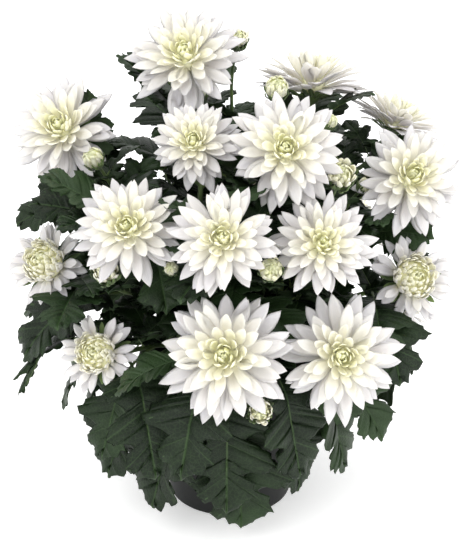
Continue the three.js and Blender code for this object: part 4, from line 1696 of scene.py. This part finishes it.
@dataclass(frozen=True)
class SmallLeaves:
    """The small leaves that stand along the shoots between the large ones, in millimetres and degrees."""

    shares: Row = (0.24, 0.32, 0.4, 0.48, 0.56, 0.64, 0.72, 0.8, 0.87)
    stalk: float = 5
    longest: float = 47
    shortest: float = 26
    start: float = 52
    end: float = 0
    spread: float = 180
    half_width: float = 0.36
    deep: float = 60
    clear: float = 0.92
    widening: float = 0.1
    turn_step: float = 40
    blade_sway: float = 0.12
    start_sway: float = 14
    end_sway: float = 25
    roll_sway: float = 20
    tested: Row = (0.35, 0.6, 0.8, 1.0)
    narrowing: float = 1.15
    behind: float = -2

    def along(self, shoot: Shoot, number: int) -> Iterator[Leaf]:
        """The small leaves of one shoot, before those in a bloom's way are left out.

        Args:
            shoot: The shoot.
            number: A number that seeds their unevenness.

        Yields:
            One leaf at a time.
        """
        random = np.random.default_rng(SHOOT_SEED + number)
        for k, share in enumerate(self.shares):
            root = shoot.point(share)
            way = math.degrees(math.atan2(root.x, -root.y))
            turn = k * math.degrees(GOLDEN_ANGLE) + self.turn_step * number
            turn = turn % (2 * self.spread) - self.spread
            blade = self.longest + (self.shortest - self.longest) * k / (len(self.shares) - 1)
            blade *= 1 + random.uniform(-self.blade_sway, self.blade_sway)
            start = self.start + random.uniform(-self.start_sway, self.start_sway)
            end = self.end + random.uniform(-self.end_sway, self.end_sway)
            roll = random.uniform(-self.roll_sway, self.roll_sway)
            plan = LeafPlan(way + turn, root.z, start, end, 1, self.stalk, blade, roll)
            yield Leaf(plan, root, Vector(), 0, 0, 1, straight=True)

    def is_free(self, leaf: Leaf) -> bool:
        """Whether a small leaf keeps out of every bloom and bud, and out of the air before it.

        Args:
            leaf: The leaf.

        Returns:
            Whether it is free.
        """
        side = UP.cross(leaf.out)
        whole = leaf.plan.stalk + leaf.blade
        points = []
        for share in self.tested:
            point = leaf.at(share * whole)[0]
            aside = self.half_width * leaf.blade * (self.narrowing - share)
            points += [point + side * (way * aside) for way in (-1, 0, 1)]
        for head in (*BLOOMS, *BUDS):
            back = head.place.inverted()
            for local in (back @ point for point in points):
                limit = head.radius * self.clear + local.z * self.widening
                if self.behind < local.z < self.deep and math.hypot(local.x, local.y) < limit:
                    return False
        return True


@dataclass(frozen=True)
class Bracts:
    """The ring of small bracts behind a head, in shares of its cup, millimetres and degrees."""

    length: float
    pitches: Row
    curl: float
    count: int = 22
    length_sway: float = 0.1
    pitch_sway: float = 5
    reach: float = 0.84
    drop: float = 0.34
    row_drop: float = 0.12
    width: float = 0.24
    thickness: float = 0.6
    hollow: float = 0.3
    lead: float = 0.3
    arc: float = 0.7


BLOOM_BRACTS = Bracts(length=1.7, pitches=(26, 16), curl=-8.0)
BUD_BRACTS = Bracts(length=1.5, pitches=(62, 50), curl=46.0)


@dataclass
class Greens:
    """The five cuttings, grown by the same rules as their solids."""

    blades: BladeGrower
    tubes: StemGrower
    leaf_blades: Sequence[bpy.types.Object]
    small_blades: Sequence[bpy.types.Object]
    bracts: Sequence[bpy.types.Object]
    leaf_finish: bpy.types.Material
    stem_finish: bpy.types.Material
    count: int = 5
    foot_reach: float = 26
    foot_height: float = 58
    fork_reach: float = 33
    fork_height: float = 122
    path_steps: int = 14
    stem_shares: Row = (0, 0.25, 0.5, 0.75, 1)
    stem_radii: Row = (3.2, 3.15, 3.05, 2.95, 2.85, 1.2)
    crown_rise: float = 2.2
    root_steps: int = 30
    root_limit: float = 0.86
    root_gap: float = 12
    cuttings: list[Cutting] = field(default_factory=list)

    def start(self) -> None:
        """Sets the main stems in their holes."""
        for index in range(self.count):
            bearing = 360 * index / self.count
            foot = point_at(bearing, self.foot_reach, self.foot_height)
            fork = point_at(bearing, self.fork_reach, self.fork_height)
            name = f"cutting_{index + 1}"
            cutting = Cutting(name, bearing, Corners(name), [Line(foot, fork)])
            rise = [foot.lerp(fork, share) for share in self.stem_shares]
            crown = fork + (fork - foot).normalized() * self.crown_rise
            cutting.paths.append(Path([*rise, crown], list(self.stem_radii)))
            self.cuttings.append(cutting)

    def nearest(self, bearing: float) -> Cutting:
        """The cutting that stands nearest to a bearing."""
        return min(self.cuttings, key=lambda cutting: bearing_gap(cutting.bearing, bearing))

    def grow_shoot(self, head: Head) -> None:
        """Grows the shoot to a head, the way that its solid took.

        Args:
            head: The bloom or bud.
        """
        cutting = self.nearest(head.at[0])
        middle, axis = head.middle, head.axis
        neck = middle - axis * head.cup
        slim = BUD_SHOOT if head.is_bud else 1
        best, most = None, -1
        for lead, below in SHOOT_WAYS:
            height = max(SHOOT_LOWEST, min(middle.z - below, SHOOT_HIGHEST))
            root, heading = self.branching(cutting, neck, height)
            span = (root - neck).length
            way = Shoot((root, root + heading * span * SHOOT_LEAVE, neck - axis * span * lead, neck))
            hits = sum(cutting.corners.has(p) for p in self.shoot_corners(way, slim))
            if hits > most:
                best, most = way, hits
        if most < SHOOT_SIDES:
            LOG.warning("%s: its shoot isn't found in the solid (%d corners)", head.name, most)
        if not head.is_bud:
            cutting.stems.append(best)
        cutting.heads.append(head)
        shares = [i / self.path_steps for i in range(self.path_steps + 1)]
        first, last = SHOOT_RADII
        path = Path([best.point(t) for t in shares], [(first + (last - first) * t) * slim for t in shares])
        cup = head.cup
        for back, radius in ((0.82, 0.5), (CUP_DEPTH, CUP_WAIST), (0.25, 0.97), (CUP_GAP / cup, 1.0)):
            path.points.append(middle - axis * (back * cup))
            path.radii.append(max(radius * cup, last * slim))
        cutting.paths.append(path)
        rule = SmallLeaves()
        for leaf in rule.along(best, len(cutting.heads) + round(head.at[2])):
            if rule.is_free(leaf):
                cutting.small_leaves.append(leaf)
                cutting.paths.append(leaf.stalk_path())

    def branching(self, cutting: Cutting, target: Vector, height: float) -> tuple[Vector, Vector]:
        """The point of a cutting's stems at a height that is nearest to a target.

        Args:
            cutting: The cutting.
            target: Where the new shoot goes.
            height: Where it should leave.

        Returns:
            The point and the stem's tangent there.
        """
        best, least = None, math.inf
        for stem in cutting.stems:
            for i in range(25):
                share = i / 24 * 0.8
                point = chord_point(stem, share)
                cost = (point - target).length + 4 * abs(point.z - height)
                if cost < least:
                    best, least = (point, stem.tangent(share)), cost
        return best

    def shoot_corners(self, way: Shoot, slim: float) -> Iterator[Vector]:
        """The corners that a shoot's solid has on its two middle rings.

        Args:
            way: The shoot.
            slim: How slim it is.

        Yields:
            One corner at a time.
        """
        for step in (1, 2):
            share = step / STEPS
            radius = (SHOOT_RADII[0] + (SHOOT_RADII[1] - SHOOT_RADII[0]) * share) * slim
            turn = UP.rotation_difference(way.tangent(share))
            for j in range(SHOOT_SIDES):
                angle = 2 * math.pi * j / SHOOT_SIDES
                spoke = Vector((radius * math.cos(angle), radius * math.sin(angle), 0))
                yield way.point(share) + turn @ spoke

    def leaf_plans(self) -> list[LeafPlan]:
        """All leaves, varied as their solids were.

        Returns:
            The plans in order.
        """
        random = seeded(LEAF_SEED)
        vary = lambda span: (next(random) * 2 - 1) * span
        plans = [LeafPlan(*row[:-1], roll=row[-1] + vary(LEAF_JITTER_ROLL)) for row in OUTLINE_LEAVES]
        for height, count, shift, start, end, arch, stalk, blade in TIERS:
            for i in range(count):
                bearing = shift + 360 * i / count + vary(LEAF_JITTER_BEARING)
                varied = blade * (1 + vary(LEAF_JITTER_LENGTH))
                slope = end + vary(LEAF_JITTER_END)
                roll = vary(LEAF_JITTER_ROLL)
                plans.append(LeafPlan(bearing, height, start, slope, arch, stalk, varied, roll))
        return plans

    def grow_leaf(self, plan: LeafPlan) -> bool:
        """Roots a leaf and finds the bend that its solid took.

        Args:
            plan: The leaf.

        Returns:
            Whether the solid has the leaf.
        """
        cutting = self.nearest(plan.bearing)
        best, least = None, math.inf
        for stem in cutting.stems:
            for i in range(self.root_steps + 1):
                share = i / self.root_steps * self.root_limit
                point = chord_point(stem, share)
                rise = abs(point.z - plan.height)
                turn = bearing_gap(math.degrees(math.atan2(point.x, -point.y)), plan.bearing)
                cost = turn + 2 * rise - 0.5 * math.hypot(point.x, point.y)
                if rise < self.root_gap and cost < least:
                    best, least = (point, stem.point(share) - point), cost
        if best is None:
            return False
        for bend in LEAF_BENDS:
            leaf = Leaf(plan, *best, *bend)
            if cutting.corners.has(leaf.tip):
                cutting.leaves.append(leaf)
                cutting.paths.append(leaf.stalk_path())
                return True
        return False

    def leaf_mesh(
        self, name: str, leaves: Sequence[Leaf], kinds: Sequence[bpy.types.Object], seed: int
    ) -> bpy.types.Mesh:
        """The blades of some leaves.

        Args:
            name: The mesh's name.
            leaves: The leaves.
            kinds: The flat blades that they are made of.
            seed: Seeds their shades.

        Returns:
            The mesh.
        """
        column = lambda pick: np.array([pick(leaf) for leaf in leaves])
        points = {
            "azimuth": column(lambda leaf: math.atan2(leaf.out.y, leaf.out.x)),
            "root_x": column(lambda leaf: leaf.root.x),
            "root_y": column(lambda leaf: leaf.root.y),
            "root_z": column(lambda leaf: leaf.root.z),
            "stalk": column(lambda leaf: leaf.plan.stalk),
            "length": column(lambda leaf: leaf.blade),
            "width": column(lambda leaf: leaf.blade),
            "thickness": column(lambda leaf: leaf.blade),
            "fold": np.full(len(leaves), LEAF_FOLD),
            "arc": column(lambda leaf: leaf.arch),
            "first": column(lambda leaf: leaf.first),
            "bend": column(lambda leaf: leaf.bend),
            "roll": column(lambda leaf: math.radians(leaf.plan.roll)),
            "shade": np.random.default_rng(seed).uniform(0, 1, len(leaves)),
        }
        return self.blades.blades(name, kinds, self.leaf_finish, points)

    def bract_mesh(self, head: Head) -> bpy.types.Mesh:
        """The ring of small bracts that holds a head from behind.

        Args:
            head: The bloom or bud.

        Returns:
            The mesh, in the row frame.
        """
        ring = BUD_BRACTS if head.is_bud else BLOOM_BRACTS
        count, cup = ring.count, head.cup
        random = np.random.default_rng(int(head.across * 10))
        row = np.arange(count) % 2
        azimuth = np.arange(count) * GOLDEN_ANGLE
        length = cup * ring.length * (1 + random.uniform(-ring.length_sway, ring.length_sway, count))
        pitch = np.where(row == 0, *ring.pitches)
        curl = np.full(count, ring.curl)
        points = {
            "azimuth": azimuth,
            "root_x": np.cos(azimuth) * cup * ring.reach,
            "root_y": np.sin(azimuth) * cup * ring.reach,
            "root_z": np.full(count, -cup * ring.drop) - row * cup * ring.row_drop,
            "length": length,
            "width": np.full(count, cup * ring.width),
            "thickness": np.full(count, ring.thickness),
            "cup": np.full(count, ring.hollow),
            "lead": length * ring.lead,
            "arc": length * ring.arc,
            "first": np.radians(pitch + random.uniform(-ring.pitch_sway, ring.pitch_sway, count)),
            "bend": np.radians(curl) / (length * ring.arc),
            "shade": random.uniform(0, 1, count),
        }
        mesh = self.blades.blades("bracts", self.bracts, self.stem_finish, points)
        place = head.place
        place.translation *= MM
        mesh.transform(place)
        return mesh

    def dress(self) -> None:
        """Grows all shoots and leaves and puts each cutting's stems and leaves on the plant."""
        self.start()
        for head in sorted((*BLOOMS, *BUDS), key=lambda head: -head.at[2]):
            self.grow_shoot(head)
        grown = sum(self.grow_leaf(plan) for plan in self.leaf_plans())
        LOG.info("%d leaves found in the solids", grown)
        for number, cutting in enumerate(self.cuttings, 1):
            stems = self.tubes.stems(f"stems_{number}", self.stem_finish, cutting.paths)
            bracts = [self.bract_mesh(head) for head in cutting.heads]
            piece(joined(f"stems_{number}", [stems, *bracts]), "foliage", cutting.name)
            large = self.leaf_mesh("large", cutting.leaves, self.leaf_blades, LARGE_SEED + number)
            small = self.leaf_mesh("small", cutting.small_leaves, self.small_blades, SMALL_SEED + number)
            LOG.info("%d small leaves", len(cutting.small_leaves))
            piece(joined(f"leaves_{number}", [large, small]), "foliage", cutting.name)


# Pot and soil


@dataclass
class Pot:
    """A round plastic pot with a rim and drain holes, filled with soil."""

    finish: bpy.types.Material
    soil_finish: bpy.types.Material
    height: float = 100
    rim_radius: float = 58
    rim_drop: float = 13
    rim_lip: float = 2.2
    base_radius: float = 41
    wall: float = 1.8
    base: float = 2.2
    sides: int = 96
    drain_holes: int = 4
    drain_radius: float = 4
    drain_circle: float = 25
    drain_from: float = -2
    drain_to: float = 5
    soil_top: float = 90
    soil_gap: float = 0.8
    soil_waves: int = 14
    soil_seed: int = 5
    soil_edge: float = 3
    soil_rings: int = 26
    soil_sides: int = 72
    soil_across: Row = (150, 60)
    soil_along: Row = (170, 55)
    soil_swell: float = 0.5
    soil_sink: float = 0.8
    soil_crumbs: float = 2.5

    @property
    def slope(self) -> float:
        """How much the pot's radius grows for each millimetre of height."""
        return (self.rim_radius - self.rim_lip - self.base_radius) / self.height

    def pot_piece(self) -> None:
        """Makes the pot."""
        under = self.height - self.rim_drop
        outer, inner = self.rim_radius, self.rim_radius - self.rim_lip - self.wall
        profile = [
            (0, 0),
            (self.base_radius - 1, 0),
            (self.base_radius - 0.3, 0.3),
            (self.base_radius, 1),
            (self.base_radius + self.slope * (under - 0.5), under - 0.5),
            (self.base_radius + self.slope * under + 0.4, under),
            (outer - 0.6, under + 0.2),
            (outer, under + 0.9),
            (outer, self.height - 1.2),
            (outer - 0.35, self.height - 0.35),
            (outer - 1.2, self.height),
            (inner + 0.8, self.height),
            (inner, self.height - 0.6),
            (self.base_radius - self.wall + 0.4, self.base + 1.2),
            (self.base_radius - self.wall - 1, self.base),
            (0, self.base),
        ]
        mesh = mesh_of("plastic_pot", *turned([(r * MM, z * MM) for r, z in profile], self.sides))
        pot = piece(self.drained(mesh), "pot", "pot")
        pot.data.materials.append(self.finish)

    def drained(self, mesh: bpy.types.Mesh) -> bpy.types.Mesh:
        """Cuts the drain holes.

        Args:
            mesh: The pot without its holes.

        Returns:
            The pot with them.
        """
        cutter_points, cutter_faces = [], []
        for i in range(self.drain_holes):
            at = point_at(45 + 360 * i / self.drain_holes, self.drain_circle, 0) * MM
            wide, low, high = self.drain_radius * MM, self.drain_from * MM, self.drain_to * MM
            rod = [(0, low), (wide, low), (wide, high), (0, high)]
            points, faces = turned(rod, 24)
            cutter_faces += [[len(cutter_points) + n for n in face] for face in faces]
            cutter_points += [(x + at.x, y + at.y, z) for x, y, z in points]
        solids = (mesh, mesh_of("rods", cutter_points, cutter_faces))
        pot, rods = (bpy.data.objects.new(solid.name, solid) for solid in solids)
        for thing in (pot, rods):
            bpy.context.scene.collection.objects.link(thing)
        cut = pot.modifiers.new("drains", "BOOLEAN")
        cut.object, cut.operation, cut.solver = rods, "DIFFERENCE", "EXACT"
        view = bpy.context.evaluated_depsgraph_get()
        made = bpy.data.meshes.new_from_object(pot.evaluated_get(view), depsgraph=view)
        for thing in (pot, rods):
            used = thing.data
            bpy.data.objects.remove(thing)
            bpy.data.meshes.remove(used)
        made.name = "plastic_pot"
        made.set_sharp_from_angle(angle=math.radians(40))
        return made

    def soil_piece(self) -> None:
        """Makes the soil: an uneven bed with crumbs of peat on it."""
        inner = lambda z: self.base_radius - self.wall + self.slope * z - self.soil_gap
        low = self.base + self.soil_gap
        edge = self.soil_top - self.soil_edge
        rings = [(0, low), (inner(low) - 1, low), (inner(edge), edge)]
        shares = np.linspace(0.98, 0.04, self.soil_rings)
        rings += [(inner(self.soil_top) * share, self.soil_top) for share in shares]
        points, faces = turned([(r * MM, z * MM) for r, z in [*rings, (0, self.soil_top)]], self.soil_sides)
        random = np.random.default_rng(self.soil_seed)
        bumps = random.uniform(0, 2 * math.pi, (self.soil_waves, 2))
        heap = []
        for x, y, z in points:
            if z > (self.soil_top - 1) * MM:
                swell = 0.0
                for k, (first, second) in enumerate(bumps):
                    across = math.sin(x * (self.soil_across[0] + self.soil_across[1] * k) + first)
                    along = math.sin(y * (self.soil_along[0] + self.soil_along[1] * k) + second)
                    swell += across * along / (k + 2)
                z += (swell * self.soil_swell - self.soil_sink) * MM
            heap.append((x, y, z))
        bed = mesh_of("bed", heap, faces)
        lowest = (self.soil_top - self.soil_crumbs) * MM
        write_attribute(bed, "crumbly", np.array([float(z > lowest) for _, _, z in heap]))
        mesh = CrumbGrower().crumbed("soil_bed", bed, self.soil_finish)
        piece(mesh, "soil", "soil")

    def dress(self) -> None:
        """Makes the pot and its soil."""
        self.pot_piece()
        self.soil_piece()


class CrumbGrower(Grower):
    """Grows crumbs of peat on the top of the soil."""

    def __init__(self) -> None:
        """Builds the tree."""
        super().__init__("peat crumbs")
        bed = self.inputs.outputs["Geometry"]
        strewn = self.node("GeometryNodeDistributePointsOnFaces", distribute_method="RANDOM")
        lumps = self.node("GeometryNodeInstanceOnPoints")
        lump = self.node("GeometryNodeMeshIcoSphere")
        turn = self.node("FunctionNodeRandomValue", data_type="FLOAT_VECTOR")
        size = self.node("FunctionNodeRandomValue", data_type="FLOAT")
        both = self.node("GeometryNodeJoinGeometry")
        self.link(bed, strewn.inputs["Mesh"])
        self.link(self.read("crumbly"), strewn.inputs["Selection"])
        for name, kind, plug in (
            ("Density", "Float", strewn.inputs["Density"]),
            ("Seed", "Int", strewn.inputs["Seed"]),
            ("Radius", "Float", lump.inputs["Radius"]),
        ):
            self.link(self.asked(name, kind), plug)
        turn.inputs[1].default_value = (6.28, 6.28, 6.28)
        size.inputs[2].default_value, size.inputs[3].default_value = 0.35, 1.5
        self.link(turn.outputs[0], lumps.inputs["Rotation"])
        self.link(size.outputs[1], lumps.inputs["Scale"])
        self.link(strewn.outputs["Points"], lumps.inputs["Points"])
        self.link(lump.outputs["Mesh"], lumps.inputs["Instance"])
        for part in (bed, lumps.outputs[0]):
            self.link(part, both.inputs[0])
        self.ended(both)

    def crumbed(self, name: str, bed: bpy.types.Mesh, finish: bpy.types.Material) -> bpy.types.Mesh:
        """Strews crumbs on a bed.

        Args:
            name: The mesh's name.
            bed: The bed of soil.
            finish: Its material.

        Returns:
            The bed with its crumbs.
        """
        made = self.grown(name, bed, Density=110000.0, Seed=8, Radius=1.1 * MM, Material=finish)
        for vertex in made.vertices:
            wobble = math.sin(vertex.co.x * 5200 + vertex.co.z * 7100) * math.sin(vertex.co.y * 6100)
            vertex.co.z += wobble * 0.12 * MM
        return made


# Studio


@dataclass
class Studio:
    """The pale floor, the soft lights and the camera at the photograph's viewing angle."""

    elevation: float = 25
    distance: float = 1100
    target: Row = (2.07, 0, 162.29)
    picture_height: float = 351
    sensor: float = 36
    floor_radius: float = 9

    def floor(self) -> None:
        """Lays the floor."""
        points, faces = turned([(0, -0.02), (self.floor_radius, -0.02), (self.floor_radius, 0), (0, 0)], 64)
        mesh = mesh_of("studio_floor", [(x, y, z - 0.0004) for x, y, z in points], faces)
        mesh.materials.append(FloorFinish().made())
        floor = bpy.data.objects.new("studio_floor", mesh)
        bpy.context.scene.collection.objects.link(floor)

    def lamp(self, name: str, place: Row, size: float, power: float) -> None:
        """Hangs one soft lamp that shines on the plant.

        Args:
            name: Its name.
            place: Where it hangs, in metres.
            size: Its side, in metres.
            power: Its power in watts.
        """
        data = bpy.data.lights.new(name, "AREA")
        data.shape, data.size, data.energy = "DISK", size, power
        thing = bpy.data.objects.new(name, data)
        thing.location = place
        aim = Vector((0, 0, 0.17)) - Vector(place)
        thing.rotation_euler = aim.to_track_quat("-Z", "Y").to_euler()
        bpy.context.scene.collection.objects.link(thing)

    def camera(self) -> None:
        """Sets up the camera."""
        data = bpy.data.cameras.new("camera")
        data.sensor_width = self.sensor
        data.lens = self.sensor * self.distance / self.picture_height
        data.clip_start, data.clip_end = 0.05, 40
        thing = bpy.data.objects.new("camera", data)
        rise = math.radians(self.elevation)
        back = Vector((0, -math.cos(rise), math.sin(rise)))
        thing.location = (Vector(self.target) + back * self.distance) * MM
        thing.rotation_euler = (-back).to_track_quat("-Z", "Y").to_euler()
        bpy.context.scene.collection.objects.link(thing)
        bpy.context.scene.camera = thing

    def set_up(self) -> None:
        """Sets up the whole studio."""
        scene = bpy.context.scene
        world = bpy.data.worlds.new("studio air")
        world.use_nodes = True
        world.node_tree.nodes["Background"].inputs["Color"].default_value = (1, 1, 1, 1)
        world.node_tree.nodes["Background"].inputs["Strength"].default_value = 1.18
        scene.world = world
        scene.view_settings.view_transform = "Standard"
        self.floor()
        self.lamp("key lamp", (-0.7, -1.2, 1.4), 1.1, 11)
        self.lamp("fill lamp", (1.2, -1.0, 0.8), 1.2, 7)
        self.lamp("top lamp", (0.1, 0.5, 1.7), 1.0, 5)
        self.camera()


def main() -> None:
    """Dresses the plant piece by piece and sets up the studio."""
    logging.basicConfig(level=logging.INFO, format="%(message)s")
    blades = BladeGrower()
    florets = [FloretBlade().variant(number) for number in range(3)]
    leaf_blades = [LeafBlade().variant(number) for number in range(3)]
    small_blades = [
        LeafBlade(levels=(0.0, 0.1, 0.55, 1.0), rounded=False, seed=40).variant(number) for number in range(3)
    ]
    petals = PetalFinish("white petals").made()
    bud_petals = PetalFinish(
        "bud petals",
        rim=paint(243, 240, 220),
        cream=paint(246, 243, 206),
        heart=paint(242, 243, 190),
        eye=paint(230, 235, 164),
    ).made()
    stem_finish = StemFinish().made()
    Pot(PotFinish().made(), SoilFinish().made()).dress()
    dresser = HeadDresser(blades, florets, petals, bud_petals)
    for number, head in enumerate((*BLOOMS, *BUDS)):
        dresser.dressed(head, number)
    leaf_finish = LeafFinish().made()
    Greens(blades, StemGrower(), leaf_blades, small_blades, florets, leaf_finish, stem_finish).dress()
    for flat in (*florets, *leaf_blades, *small_blades):
        bpy.data.objects.remove(flat)
    Studio().set_up()


if __name__ == "__main__":
    main()
